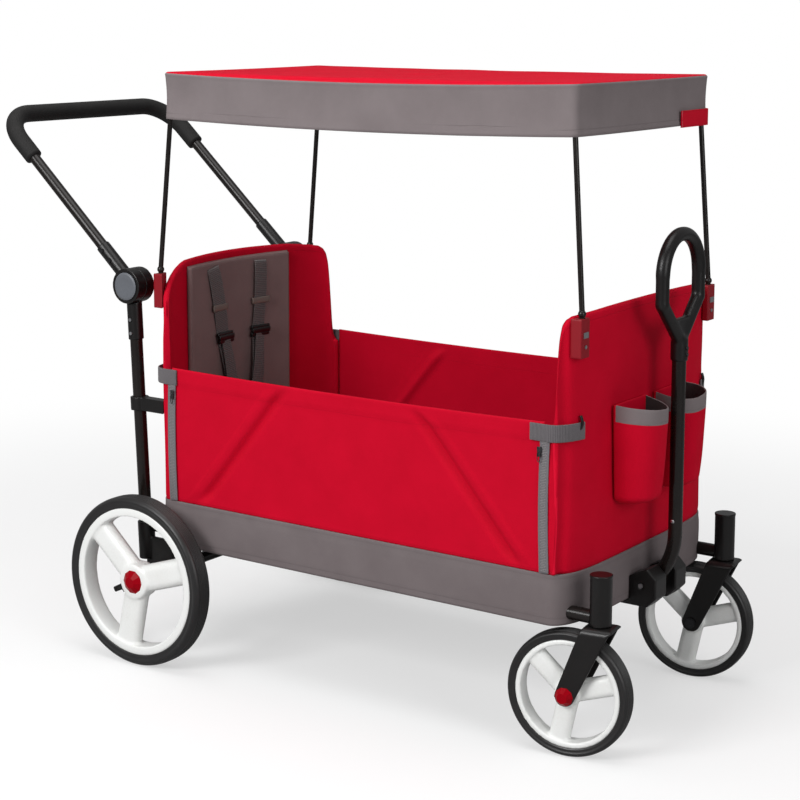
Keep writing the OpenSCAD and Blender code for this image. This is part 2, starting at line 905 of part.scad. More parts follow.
// The bar's path as a solid of diameter d, with arms from start up to the bends
module push_path(d, start) {
    straight = push_l - push_bend;
    both_sides() {
        translate([0, upright_y, start]) cylinder(d = d, h = straight - start);
        translate([0, upright_y - push_bend, straight]) rotate([90, 0, 90])
            rotate_extrude(angle = 90) translate([push_bend, 0]) circle(d = d);
    }
    bar_y(d, -upright_y + push_bend, upright_y - push_bend, 0, push_l);
}

module push_bar() {
    start = knuckle_d / 2 + screw_d;
    color(black) in_place() push_frame() difference() {
        push_path(push_d, start);
        push_path(push_d - 2 * tube_wall, start - cut);
    }
}

module push_grip() {
    color(black) in_place() push_frame() difference() {
        push_path(grip_d, push_l - grip_arm);
        push_path(push_d + 2 * pole_play, push_l - grip_arm - cut);
    }
}

// Pull handle and its bracket

module pull_bracket() {
    cheek_y = bracket_w / 2;
    z1 = pull_pivot_z + bracket_high;
    z0 = pull_pivot_z - bracket_low;
    x0 = front_x(0) + gap;
    x1 = pull_pivot_x + bracket_front;
    color(black) in_place() difference() {
        union() {
            both_sides() translate([0, cheek_y, 0]) rotate([90, 0, 0]) linear_extrude(cheek_y - cheek_in)
                polygon([[x0, z0], [x1 - bracket_bevel, z0], [x1, z0 + bracket_bevel],
                    [x1, z1 - bracket_bevel], [x1 - bracket_bevel, z1], [x0, z1 - bracket_bevel]]);
            block(pull_pivot_x - bracket_back, x0 + sleeve_wall, -cheek_y, cheek_y,
                z0, min(z0 + bracket_foot_t, base_z - gap));
        }
        bar_y(pivot_bore_d + 2 * run_gap, -cheek_y - cut, cheek_y + cut, pull_pivot_x, pull_pivot_z);
    }
}

// Tube from the pivot, round a bend, straight up into the loop grip's neck
module pull_path(d, top) {
    bend_angle = asin((pull_bend_z - pull_pivot_z) / pull_bend);
    translate([pull_x, 0, pull_bend_z]) cylinder(d = d, h = top - pull_bend_z);
    translate([pull_x - pull_bend, 0, pull_bend_z]) rotate([90, 0, 0]) mirror([0, 1, 0])
        rotate_extrude(angle = bend_angle) translate([pull_bend, 0]) circle(d = d);
}

module pull_tube() {
    y = cheek_in - gap;
    color(black) in_place() difference() {
        union() {
            pull_path(pull_d, pull_top);
            bar_y(barrel_d, -y, y, pull_pivot_x, pull_pivot_z);
        }
        difference() {
            pull_path(pull_d - 2 * tube_wall, pull_top + cut);
            bar_y(barrel_d, -y, y, pull_pivot_x, pull_pivot_z);
        }
        bar_y(pivot_bore_d + 2 * run_gap, -y - cut, y + cut, pull_pivot_x, pull_pivot_z);
    }
}

module neck_screws(d, depth) {
    for (share = screw_shares)
        bar_x(d, pull_x + pull_d / 2 + pole_play + gap, pull_x + neck_d / 2 + depth, 0,
            neck_top - neck_l + (neck_l - neck_solid) * share);
}

// Upper arc, straight sides, and lower legs that close in on the neck with a web between them
module loop() {
    leg_d = loop_d - leg_slim;
    web_y = loop_web_h * tan(loop_taper);
    rotate([90, 0, 90]) rotate_extrude(angle = 180) translate([loop_r, 0]) circle(d = loop_d);
    both_sides() translate([0, loop_r, -loop_l]) {
        cylinder(d = leg_d, h = loop_l + leg_run_in);
        sphere(d = loop_d);
    }
    translate([0, 0, loop_foot_z - loop_z]) {
        both_sides() rotate([-loop_taper, 0, 0]) cylinder(d = leg_d, h = loop_r / sin(loop_taper));
        rotate([90, 0, 90]) linear_extrude(loop_web_t, center = true)
            polygon([[0, 0], [web_y, loop_web_h], [-web_y, loop_web_h]]);
    }
}

module pull_grip() {
    color(black) in_place() difference() {
        union() {
            translate([pull_x, 0, loop_z]) loop();
            translate([pull_x, 0, neck_top - neck_l]) cylinder(d = neck_d, h = neck_l);
            translate([pull_x, 0, neck_top])
                cylinder(d1 = neck_d, d2 = neck_d * neck_tip_share, h = neck_tip);
        }
        translate([pull_x, 0, neck_top - neck_l - cut])
            cylinder(d = pull_d + 2 * pole_play, h = neck_l - neck_solid + cut + gap);
        neck_screws(screw_d + 2 * pole_play, neck_d);
    }
}

module pull_grip_screws() {
    color(silver) in_place() neck_screws(screw_d, screw_proud);
}

// Rivets, clips, bolts and pins of the frame

module frame_fasteners() {
    color(silver) in_place() {
        both_sides() {
            socket_fastenings(pole_front_x, 1);
            socket_fastenings(pole_rear_x, -1);
            upright_frame() sleeve_screws(upright_d, false, screw_d, screw_proud);
            knuckle_pin();
        }
        brace_bolts(bolt_d);
        bar_y(pivot_bore_d, -bracket_w / 2, bracket_w / 2, pull_pivot_x, pull_pivot_z);
    }
}

// Casters

// Front view of a fork: square below, round shoulders above
module fork_front() {
    translate([-fork_out, 0]) square([2 * fork_out, crown_z - fork_shoulder]);
    translate([fork_shoulder - fork_out, 0]) square([2 * (fork_out - fork_shoulder), crown_z]);
    for (y = [-1, 1]) translate([y * (fork_out - fork_shoulder), crown_z - fork_shoulder])
        circle(r = fork_shoulder);
}

module fork(side) {
    run = [caster_trail, crown_z - axle_front_z];
    across = [run[1], -run[0]] / norm(run) * fork_w / 2;
    axle = [-caster_trail, axle_front_z];
    top = crown_z + cut;
    out = fork_out + cut;
    color(black) in_place() caster_frame(side) {
        difference() {
            union() {
                intersection() {
                    union() {
                        both_sides() translate([0, out, 0]) rotate([90, 0, 0])
                            linear_extrude(fork_t + cut) {
                                polygon([[-crown_back, top], axle - across, axle + across,
                                    [crown_front, crown_z - crown_t], [crown_front, top]]);
                                translate(axle) circle(d = fork_w);
                            }
                        block(-crown_back, crown_front, -out, out, crown_z - crown_t, top);
                        translate([0, out, 0]) rotate([90, 0, 0]) linear_extrude(2 * out)
                            polygon([[crown_front, crown_z - crown_t],
                                [crown_front + crown_nose, crown_z - crown_t / 2],
                                [crown_front, top]]);
                    }
                    rotate([90, 0, 90]) linear_extrude(2 * fork_reach, center = true) fork_front();
                }
                translate([0, 0, crown_z - crown_t]) cylinder(d = kingpin_d, h = kingpin_top + crown_t);
            }
            bar_y(wheel_bolt_d + 2 * run_gap, -fork_out - cut, fork_out + cut,
                -caster_trail, axle_front_z);
        }
    }
}

// Bolt with its head on the inner side
module wheel_bolt(side) {
    color(black) in_place() caster_frame(side) on_side(side) {
        bar_y(wheel_bolt_d, -fork_out - bolt_head_t, fork_out, -caster_trail, axle_front_z);
        bar_y(bolt_head_d, -fork_out - bolt_head_t, -fork_out - run_gap,
            -caster_trail, axle_front_z);
    }
}

module front_cap(side) {
    color(red) in_place() caster_frame(side) on_side(side)
        translate([-caster_trail, fork_out + run_gap, axle_front_z]) rotate([-90, 0, 0])
        cylinder(d1 = cap_d, d2 = cap_d * cap_top_share, h = cap_t, $fn = hub_cap_facets);
}

// Wheels, drawn about Z with the outer face up

module tyre(d, rim_d, w) {
    difference() {
        rotate_extrude() difference() {
            union() {
                translate([rim_d / 2 - tyre_seat, -w / 2])
                    square([(d - rim_d) / 2 - shoulder_r + tyre_seat, w]);
                translate([rim_d / 2, shoulder_r - w / 2])
                    square([(d - rim_d) / 2, w - 2 * shoulder_r]);
                for (y = [-1, 1]) translate([d / 2 - shoulder_r, y * (w / 2 - shoulder_r)])
                    circle(r = shoulder_r);
            }
            for (i = [-1 : 1]) translate([d / 2 - groove_d, i * groove_pitch - groove_w / 2])
                square([groove_d + cut, groove_w]);
        }
        cylinder(d = rim_d - 2 * tyre_seat + 2 * gap, h = 2 * w, center = true);
        rim_bed(rim_d + 2 * gap, w + 2 * gap);
    }
}

// Wide outer face of a rim, seated in the tyre
module rim_bed(d, w) {
    cylinder(d = d, h = w - 4 * tyre_seat, center = true);
}

module rim(rim_d, w, hub_d, hub_w, spoke_w, spoke_t, bore_d) {
    inner_d = rim_d * (1 - rim_deep_share);
    difference() {
        union() {
            difference() {
                union() {
                    cylinder(d = rim_d - 2 * tyre_seat, h = w - tyre_seat, center = true);
                    rim_bed(rim_d, w);
                }
                cylinder(d = inner_d, h = 2 * w, center = true);
            }
            cylinder(d = hub_d, h = hub_w, center = true);
            for (i = [0 : spoke_count - 1]) rotate([0, 0, spoke_turn + 360 * i / spoke_count])
                rotate([90, 0, 90]) linear_extrude(inner_d / 2 + tyre_seat) {
                    square([spoke_w - spoke_t, spoke_t], center = true);
                    for (y = [-1, 1]) translate([y * (spoke_w - spoke_t) / 2, 0]) circle(d = spoke_t);
                }
        }
        cylinder(d = bore_d, h = 2 * w, center = true);
    }
}

module hub_cap() {
    top = hub_cap_d * hub_cap_top_share;
    cylinder(d1 = hub_cap_d, d2 = top, h = hub_cap_t, $fn = hub_cap_facets);
}

module front_wheel_frame(side) {
    caster_frame(side) on_side(side) translate([-caster_trail, 0, axle_front_z])
        rotate([-90, 0, 0]) children();
}

module rear_wheel_frame(side) {
    on_side(side) translate([axle_x, rear_wheel_y, axle_rear_z]) rotate([-90, 0, 0]) children();
}

module front_rim(side) {
    color(white) in_place() front_wheel_frame(side)
        rim(front_rim_d, front_tyre_w, front_hub_d, front_hub_w, front_spoke_w, front_spoke_t,
            wheel_bolt_d + 2 * run_gap);
}

module front_tyre(side) {
    color(black) in_place() front_wheel_frame(side) tyre(front_wheel_d, front_rim_d, front_tyre_w);
}

module rear_rim(side) {
    color(white) in_place() rear_wheel_frame(side)
        rim(rear_rim_d, rear_tyre_w, rear_hub_d, rear_hub_w, rear_spoke_w, rear_spoke_t,
            axle_end_d + 2 * run_gap);
}

module rear_tyre(side) {
    color(black) in_place() rear_wheel_frame(side) tyre(rear_wheel_d, rear_rim_d, rear_tyre_w);
}

module rear_hub_cap(side) {
    color(red) in_place() rear_wheel_frame(side) translate([0, 0, rear_hub_w / 2]) hub_cap();
}

// Brake pedals, which turn on the axle inside the rear wheels
module brake_pedal(side) {
    ring_out = axle_d + 2 * run_gap + 2 * brake_ring_wall;
    color(black) in_place() on_side(side) translate([axle_x, brake_y, axle_rear_z]) difference() {
        union() {
            bar_y(ring_out, -brake_w / 2, brake_w / 2, 0, 0);
            rotate([0, -brake_angle, 0]) {
                block(-brake_l + brake_arm_h, 0, -brake_arm_w / 2, brake_arm_w / 2,
                    -brake_arm_h / 2, brake_arm_h / 2);
                block(-brake_l, brake_pad_l - brake_l, -brake_pad_w / 2, brake_pad_w / 2,
                    0, brake_pad_h);
            }
        }
        bar_y(axle_d + 2 * run_gap, -brake_w, brake_w, 0, 0);
    }
}

// Side panels with their zip strips, straps and sliders

function panel_edge(x) = [x, side_top - side_sag * (1 - pow(x / panel_end, 2))];

module side_panel(side) {
    y1 = bed_w / 2;
    color(red) in_place() on_side(side) {
        translate([0, y1, 0]) rotate([90, 0, 0]) linear_extrude(side_t) polygon(concat(
            [[-panel_end, hinge_z], [panel_end, hinge_z]],
            [for (i = [panel_steps : -1 : 0]) panel_edge(panel_end * (2 * i / panel_steps - 1))]));
        for (x = [-panel_end, panel_end - zip_w])
            block(x, x + zip_w, y1, y1 + zip_t, hinge_z, zip_top);
    }
}

// Straps that wrap from the panel's ends round the bed's corners
module corner_straps(side) {
    z0 = side_top - strap_drop - strap_h;
    x0 = panel_end - strap_side + zip_w;
    color(grey) in_place() on_side(side) intersection() {
        ring_of_bed(-gap - strap_t, strap_t, z0, strap_h);
        union() {
            block(x0, x0 + 2 * strap_reach, strap_front_y, bed_w, z0, side_top);
            block(-x0 - 2 * strap_reach, -x0, strap_rear_y, bed_w, z0, side_top);
        }
    }
}

module zip_slider(side, facing) {
    x = facing * (panel_end - zip_w / 2);
    y = bed_w / 2 + zip_t + gap;
    color(silver) in_place() on_side(side)
        block(x - slider_w / 2, x + slider_w / 2, y, y + slider_t,
            zip_top - slider_h - gap, zip_top - gap);
}

// Canopy

module rounded_plan(l, w, r) {
    square([l, w - 2 * r], center = true);
    square([l - 2 * r, w], center = true);
    for (x = [-1, 1]) for (y = [-1, 1]) translate([x * (l / 2 - r), y * (w / 2 - r)]) circle(r = r);
}

module canopy_cover() {
    color(red) in_place() translate([canopy_x, 0, canopy_z]) difference() {
        linear_extrude(canopy_h) rounded_plan(canopy_l, canopy_w, canopy_r);
        translate([0, 0, -cut]) linear_extrude(canopy_h - canopy_t + cut)
            rounded_plan(canopy_l - 2 * canopy_t, canopy_w - 2 * canopy_t, canopy_r - canopy_t);
    }
}

// Wire frame under the canopy cloth, with a joint at each corner that takes a pole
module canopy_frame() {
    z1 = frame_z + frame_d / 2 + corner_joint_roof;
    seat = corner_joint / 4;
    color(black) in_place() difference() {
        union() {
            both_sides() bar_x(frame_d, pole_top_rear_x + seat, pole_top_front_x - seat,
                pole_top_y, frame_z);
            for (x = [pole_top_rear_x, pole_top_front_x]) {
                bar_y(frame_d, seat - pole_top_y, pole_top_y - seat, x, frame_z);
                both_sides() translate([x, pole_top_y, z1 - corner_joint_h]) rotate([0, 0, seam_turn])
                    cylinder(d = corner_joint, h = corner_joint_h);
            }
        }
        leaning_poles(1, pole_d + 2 * pole_play, gap);
        leaning_poles(-1, pole_d + 2 * pole_play, gap);
    }
}

// Poles of one end, drawn in by the canopy from their stop balls up
module leaning_poles(facing, d, extra) {
    foot = [facing > 0 ? pole_front_x : pole_rear_x, pole_y, stop_z];
    top = [facing > 0 ? pole_top_front_x : pole_top_rear_x, pole_top_y, frame_z - frame_d];
    lean = top - foot;
    both_sides() translate(foot) rotate([0, acos(lean[2] / norm(lean)), atan2(lean[1], lean[0])])
        rotate([0, 0, seam_turn]) translate([0, 0, gap]) cylinder(d = d, h = norm(lean) - gap + extra);
}

// Upright foot of each pole in its socket, with the ball that stops it there
module pole_feet(facing) {
    z0 = socket_z - socket_h + socket_floor + pole_play;
    both_sides() translate([facing > 0 ? pole_front_x : pole_rear_x, pole_y, 0]) {
        translate([0, 0, z0]) cylinder(d = pole_d, h = stop_z - gap - z0);
        translate([0, 0, stop_z]) sphere(d = stop_d);
    }
}

module poles(facing) {
    leaning_poles(facing, pole_d, 0);
    pole_feet(facing);
}

module front_poles() {
    color(black) in_place() poles(1);
}

module rear_poles() {
    color(black) in_place() poles(-1);
}

floor_rails();
floor_cross_tubes();
floor_board();
floor_mat();
base_band();
front_wall();
rear_wall();
front_pad();
rear_pad();
harness_webbing();
harness_hardware();
pockets();
pole_sockets();
stem_housings();
rear_brackets();
rear_axle();
uprights();
upright_clamps();
knuckle_bases();
pull_bracket();
frame_fasteners();
push_bar();
push_grip();
knuckle_arms();
push_handle_screws();
knuckle_button(right);  // right_knuckle_button
knuckle_button(left);  // left_knuckle_button
pull_tube();
pull_grip();
pull_grip_screws();
fork(right);  // right_fork
fork(left);  // left_fork
wheel_bolt(right);  // right_wheel_bolt
wheel_bolt(left);  // left_wheel_bolt
front_cap(right);  // right_front_cap
front_cap(left);  // left_front_cap
front_rim(right);  // right_front_rim
front_rim(left);  // left_front_rim
front_tyre(right);  // right_front_tyre
front_tyre(left);  // left_front_tyre
rear_rim(right);  // right_rear_rim
rear_rim(left);  // left_rear_rim
rear_tyre(right);  // right_rear_tyre
rear_tyre(left);  // left_rear_tyre
rear_hub_cap(right);  // right_hub_cap
rear_hub_cap(left);  // left_hub_cap
brake_pedal(right);  // right_brake_pedal
brake_pedal(left);  // left_brake_pedal
side_panel(right);  // right_side_panel
side_panel(left);  // left_side_panel
corner_straps(right);  // right_corner_straps
corner_straps(left);  // left_corner_straps
zip_slider(right, 1);  // right_front_zip_slider
zip_slider(right, -1);  // right_rear_zip_slider
zip_slider(left, 1);  // left_front_zip_slider
zip_slider(left, -1);  // left_rear_zip_slider
canopy_cover();
canopy_frame();
front_poles();
rear_poles();
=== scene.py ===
import json
import math

import bmesh
import bpy
import numpy as np
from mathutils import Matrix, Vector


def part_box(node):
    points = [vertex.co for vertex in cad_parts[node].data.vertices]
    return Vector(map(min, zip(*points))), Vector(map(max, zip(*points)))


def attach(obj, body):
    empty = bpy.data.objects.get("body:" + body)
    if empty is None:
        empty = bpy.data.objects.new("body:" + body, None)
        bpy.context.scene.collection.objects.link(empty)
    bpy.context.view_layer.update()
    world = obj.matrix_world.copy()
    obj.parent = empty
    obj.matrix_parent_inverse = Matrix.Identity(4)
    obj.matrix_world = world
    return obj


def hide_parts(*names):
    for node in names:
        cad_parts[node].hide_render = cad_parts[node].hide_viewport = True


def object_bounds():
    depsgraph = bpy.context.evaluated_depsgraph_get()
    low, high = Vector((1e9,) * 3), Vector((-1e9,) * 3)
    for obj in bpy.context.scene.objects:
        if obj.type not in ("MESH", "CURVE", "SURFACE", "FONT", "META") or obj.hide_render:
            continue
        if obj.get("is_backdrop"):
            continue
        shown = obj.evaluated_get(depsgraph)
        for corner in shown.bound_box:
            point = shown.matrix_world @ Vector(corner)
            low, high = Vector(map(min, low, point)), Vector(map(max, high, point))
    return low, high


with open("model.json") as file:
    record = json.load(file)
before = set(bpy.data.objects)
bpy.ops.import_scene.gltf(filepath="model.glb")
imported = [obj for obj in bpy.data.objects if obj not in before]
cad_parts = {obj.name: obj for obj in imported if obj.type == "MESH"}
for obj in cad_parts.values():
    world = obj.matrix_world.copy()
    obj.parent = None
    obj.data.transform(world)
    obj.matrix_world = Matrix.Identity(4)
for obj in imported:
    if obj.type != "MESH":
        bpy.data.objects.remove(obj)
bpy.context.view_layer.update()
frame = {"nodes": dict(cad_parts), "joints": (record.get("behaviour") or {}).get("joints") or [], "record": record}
nodes = frame["nodes"]
bodyOf = {node: body for body, group in frame["record"]["behaviour"]["bodies"].items() for node in group}
scene = bpy.context.scene
sides = (("right", -1), ("left", 1))
sideLow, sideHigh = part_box("left_side_panel")
bedX = (sideLow.x + sideHigh.x) / 2     # middle of the bed along X


# A dictionary whose values can be read as name.key.
class Settings(dict):
    __getattr__ = dict.__getitem__


bed = Settings(length=0.806, width=0.492, cornerRun=0.022, frontBow=0.017, rearBow=0.050, frontPower=6,
               rearPower=16, low=0.206, top=0.286, zipX=0.373, inset=0.0002)


# Shapes.


def unit(v):
    return v / np.maximum(np.linalg.norm(v, axis=-1, keepdims=True), 1e-12)


# Points from their coordinates; a single number holds for all of them.
def points(*columns):
    return np.stack(np.broadcast_arrays(*columns), -1)


# Length along a line, from 0 at its first point.
def lengthAlong(line):
    return np.r_[0, np.cumsum(np.linalg.norm(np.diff(line, axis=0), axis=1))]


# Points of a line at given lengths along it.
def pointsAt(line, run, at):
    return points(*(np.interp(at, run, c) for c in line.T))


# Points of a line, spread evenly by its length; also gives the length at each point.
def evenly(line, count):
    run = lengthAlong(line)
    s = np.linspace(0, run[-1], count)
    return pointsAt(line, run, s), s


# The same for a line that closes on its first point.
def evenLoop(line, count):
    line, s = evenly(np.concatenate([line, line[:1]]), count + 1)
    return line[:-1], s[:-1]


# Rises from 0 to 1 between a and b with flat ends.
def ease(x, a, b):
    t = np.clip((x - a) / (b - a), 0, 1)
    return t * t * (3 - 2 * t)


# Rises from 0 at x = 0 to 1 at x = reach as a quarter circle does.
def roundOver(x, reach):
    return np.sqrt(np.clip(1 - (1 - np.clip(x / reach, 0, 1)) ** 2, 0, 1))


# Bell curve: 1 at x = 0, falling off over a width.
def bell(x, width):
    return np.exp(-(x / width) ** 2)


# Half a sine wave over a share: 0 at both ends, 1 in the middle.
def arch(share):
    return np.sin(np.pi * np.clip(share, 0, 1))


# Soft waviness of cloth: a sum of slanted sine waves, of height about 1.
def ripple(a, b, seed):
    waves = 7
    draw = np.random.default_rng(seed)
    k = draw.normal(0, 1, (waves, 2)) * np.array([14.0, 9.0])
    phase = draw.uniform(0, 6.28, waves)
    return sum(np.sin(a * k[i, 0] + b * k[i, 1] + phase[i]) for i in range(waves)) / 4


# Points in plan with a height each.
def raised(plan, z):
    return np.concatenate([plan, np.broadcast_to(z, plan.shape[:-1])[..., None]], -1)


# Four-sided faces over a grid of rows and columns, joined round where a direction closes.
def gridFaces(rows, cols, closeRows=False, closeCols=False):
    i = np.arange(rows if closeRows else rows - 1)[:, None]
    j = np.arange(cols if closeCols else cols - 1)[None, :]
    i2, j2 = (i + 1) % rows, (j + 1) % cols
    return np.stack([i * cols + j, i2 * cols + j, i2 * cols + j2, i * cols + j2], -1).reshape(-1, 4)


# A mesh object from points and faces: doubles merged, faces turned outwards, smooth shaded.
def solid(name, places, faces, fields=None, paint=None, merge=1e-6, turn=True, sharp=None):
    mesh = bpy.data.meshes.new(name)
    mesh.vertices.add(len(places))
    mesh.vertices.foreach_set("co", np.asarray(places, np.float32).ravel())
    mesh.loops.add(faces.size)
    mesh.loops.foreach_set("vertex_index", faces.ravel().astype(np.int32))
    mesh.polygons.add(len(faces))
    mesh.polygons.foreach_set("loop_start", np.arange(0, faces.size, faces.shape[1], dtype=np.int32))
    if paint is not None:
        mesh.polygons.foreach_set("material_index", paint.ravel().astype(np.int32))
    mesh.update(calc_edges=True)
    for key, value in (fields or {}).items():
        field = mesh.attributes.new(key, "FLOAT", "POINT")
        field.data.foreach_set("value", value.ravel().astype(np.float32))
    work = bmesh.new()
    work.from_mesh(mesh)
    bmesh.ops.remove_doubles(work, verts=work.verts, dist=merge)
    bmesh.ops.dissolve_degenerate(work, edges=work.edges, dist=merge / 2)
    if turn:
        bmesh.ops.recalc_face_normals(work, faces=work.faces)
    work.to_mesh(mesh)
    work.free()
    mesh.polygons.foreach_set("use_smooth", np.ones(len(mesh.polygons), bool))
    if sharp:
        mesh.set_sharp_from_angle(angle=math.radians(sharp))
    piece = bpy.data.objects.new(name, mesh)
    scene.collection.objects.link(piece)
    return piece


# The same from grids; each is (points, close rows, close columns).
def built(name, grids, fields=None, **more):
    places, faces, start = [], [], 0
    for p, closeRows, closeCols in grids:
        faces.append(gridFaces(*p.shape[:2], closeRows, closeCols) + start)
        places.append(p.reshape(-1, 3))
        start += len(places[-1])
    return solid(name, np.concatenate(places), np.concatenate(faces), fields, **more)


# A round or squared section carried along a path; both ends run in to a point and close.
def strip(path, across, width, thick, square=0.3, count=16):
    t = unit(np.gradient(path, axis=0))
    n = unit(np.cross(t, unit(np.broadcast_to(across, path.shape))))
    a = np.cross(n, t)
    f = np.linspace(0, 2 * np.pi, count, endpoint=False)
    c = np.sign(np.cos(f)) * np.abs(np.cos(f)) ** square * width / 2
    d = np.sign(np.sin(f)) * np.abs(np.sin(f)) ** max(square, 0.6) * thick / 2
    body = path[:, None] + a[:, None] * c[None, :, None] + n[:, None] * d[None, :, None]
    ends = np.broadcast_to(path[[0, -1], None], (2, count, 3))
    return np.concatenate([ends[:1], body, ends[1:]]), False, True


# The length along a strip's path at each of its points, for ribs across it.
def stripRun(grid, s):
    return np.broadcast_to(np.r_[0, s, s[-1]][:, None], grid[0].shape[:2]).ravel()


# A profile of (radius, height) turned about an axis through a centre.
def turned(profile, centre, axis, count):
    axis = unit(np.array(axis, float))
    e1 = unit(np.cross(axis, [0.3, 0.9, 0.31]))
    e2 = np.cross(axis, e1)
    f = np.linspace(0, 2 * np.pi, count, endpoint=False)
    ring = np.cos(f)[:, None] * e1 + np.sin(f)[:, None] * e2
    return np.array(centre) + ring[:, None] * profile[:, :1] + axis * profile[:, 1:], True, False


# Small boxes with bevelled tops, one at each centre: half sizes along three directions.
def studs(centres, ex, ey, ez, half):
    s = np.array([[-1, -1, 0], [1, -1, 0], [1, 1, 0], [-1, 1, 0],
                  [-.7, -.7, 1], [.7, -.7, 1], [.7, .7, 1], [-.7, .7, 1]]) * half
    box = s @ np.array([ex, ey, ez])
    face = np.array([[4, 5, 6, 7], [0, 1, 5, 4], [1, 2, 6, 5], [2, 3, 7, 6], [3, 0, 4, 7], [3, 2, 1, 0]])
    return ((centres[:, None] + box).reshape(-1, 3),
            (face + 8 * np.arange(len(centres))[:, None, None]).reshape(-1, 4))


# Outline of one end of the bed, from one zip round to the other, in plan and anticlockwise:
# straight sides, then x = side end + reach * sqrt(1 - |share|^n); the rear adds a bow of 1 - share squared.
def endPath(front, outset, count):
    half = bed.width / 2 + outset
    s = np.sin(np.linspace(-np.pi / 2, np.pi / 2, 361))
    reach = bed.cornerRun + outset + (bed.frontBow if front else 0)
    turn = np.sqrt(1 - np.abs(s) ** bed["frontPower" if front else "rearPower"])
    x = bed.length / 2 - bed.cornerRun + reach * turn + (0 if front else bed.rearBow) * (1 - s ** 2)
    line = points(np.r_[bed.zipX, x, bed.zipX], np.r_[-half, half * s, half])
    if not front:
        line = (line * [-1, 1])[::-1]
    return evenly(line + [bedX, 0], count)


# Both ends joined: the whole way round the bed.
def bedLoop(outset, steps, count):
    return evenLoop(np.concatenate([endPath(front, outset, steps)[0] for front in (True, False)]), count)


# Outward directions of a line in plan.
def planNormal(path, loop=False):
    if loop:
        path = np.concatenate([path[-1:], path, path[:1]])
    t = np.gradient(path, axis=0)
    n = unit(points(t[:, 1], -t[:, 0]))
    return n[1:-1] if loop else n


# A cloth wall on a plan line: up the outer face, over a round top edge and down the inner face.
# lift moves the cloth out, from its place along, height share, height and depth in the wall;
# the thickness runs out round at both ends. Also gives the distance below the top edge.
def clothWall(path, s, bottom, top, thick, lift, faceRows, loop=False):
    share, flat = np.linspace(0, 1, faceRows), np.zeros(faceRows)
    arc = np.linspace(0, np.pi, 9)[1:-1]
    rise = np.r_[share, np.ones(7), share[::-1]]
    depth = np.r_[flat, np.cos(arc) / 2 - 0.5, flat - 1]
    z = bottom + rise * (top[:, None] - thick / 2 - bottom) + np.r_[flat, np.sin(arc), flat] * thick / 2
    out = depth * thick + lift(s[:, None] + 0 * z, rise + 0 * z, z, depth + 0 * z)
    half = (out + out[:, ::-1]) / 2
    ends = np.ones(len(s)) if loop else roundOver(np.minimum(s, s[-1] - s), thick / 2)
    out = half + (out - half) * ends[:, None]
    return raised(path[:, None] + planNormal(path, loop)[:, None] * out[..., None], z), top[:, None] - z


# Finishes.


# A screen colour of 0 to 255 as linear light.
def rgb(tone):
    return (*(((c / 255 + 0.055) / 1.055) ** 2.4 if c > 10 else c / 255 / 12.92 for c in tone), 1)


def feed(tree, node, values):
    for key, value in values.items():
        if isinstance(value, bpy.types.NodeSocket):
            tree.links.new(value, node.inputs[key])
        else:
            node.inputs[key].default_value = value
    return node


def add(tree, kind, values=None, **settings):
    node = tree.nodes.new("ShaderNode" + kind)
    for key, value in settings.items():
        setattr(node, key, value)
    return feed(tree, node, values or {})


def calc(tree, operation, a, b=0.0):
    return add(tree, "Math", {0: a, 1: b}, operation=operation).outputs[0]


def times(tree, a, b):
    return calc(tree, "MULTIPLY", a, b)


def plus(tree, a, b):
    return calc(tree, "ADD", a, b)


def mixed(tree, share, a, b):
    return add(tree, "Mix", {0: share, 6: a, 7: b}, data_type="RGBA").outputs[2]


def noise(tree, spot, scale, detail, rough=0.5):
    values = {"Vector": spot, "Scale": scale, "Detail": detail, "Roughness": rough}
    return add(tree, "TexNoise", values).outputs[0]


# Stretches a value from the range lo to hi on to the range a to b.
def span(tree, value, lo, hi, a=0.0, b=1.0, **settings):
    return add(tree, "MapRange", {0: value, 1: lo, 2: hi, 3: a, 4: b}, **settings).outputs[0]


# A node group's inputs are kinds of socket, or a number for a value that starts there.
def newGroup(name, inputs, outputs):
    tree = bpy.data.node_groups.new(name, "ShaderNodeTree")
    for way, sockets in (("INPUT", inputs), ("OUTPUT", outputs)):
        for label, kind in sockets.items():
            named = isinstance(kind, str)
            socket = tree.interface.new_socket(
                label, in_out=way, socket_type="NodeSocket" + (kind if named else "Float"))
            if not named:
                socket.default_value = kind
    return tree, tree.nodes.new("NodeGroupInput").outputs, tree.nodes.new("NodeGroupOutput")


# Woven cloth: crossed threads as height, uneven dye as colour.
def makeWeave():
    tree, use, out = newGroup(
        "wovenCloth", dict(Place="Vector", Thread=0.001, Dye="Color", Shade="Color", Uneven=0.5),
        dict(Color="Color", Height="Float", Rough="Float"))
    k = calc(tree, "DIVIDE", 2 * math.pi, use["Thread"])
    v = add(tree, "SeparateXYZ", {0: use["Place"]}).outputs
    warp = calc(tree, "SINE", times(tree, plus(tree, v[0], v[1]), k))
    weft = calc(tree, "SINE", times(tree, v[2], k))
    thread = times(tree, warp, weft)
    fine = noise(tree, use["Place"], 900.0, 2.0)
    broad = noise(tree, use["Place"], 16.0, 5.0, 0.6)
    mottle = span(tree, plus(tree, times(tree, broad, 0.75), times(tree, fine, 0.25)), 0.35, 0.65)
    dark = plus(tree, times(tree, mottle, use["Uneven"]), times(tree, thread, 0.12))
    feed(tree, out, {"Color": mixed(tree, dark, use["Dye"], use["Shade"]),
                     "Height": plus(tree, times(tree, thread, 0.5), fine),
                     "Rough": span(tree, fine, 0.0, 1.0, 0.72, 0.9)})
    return tree


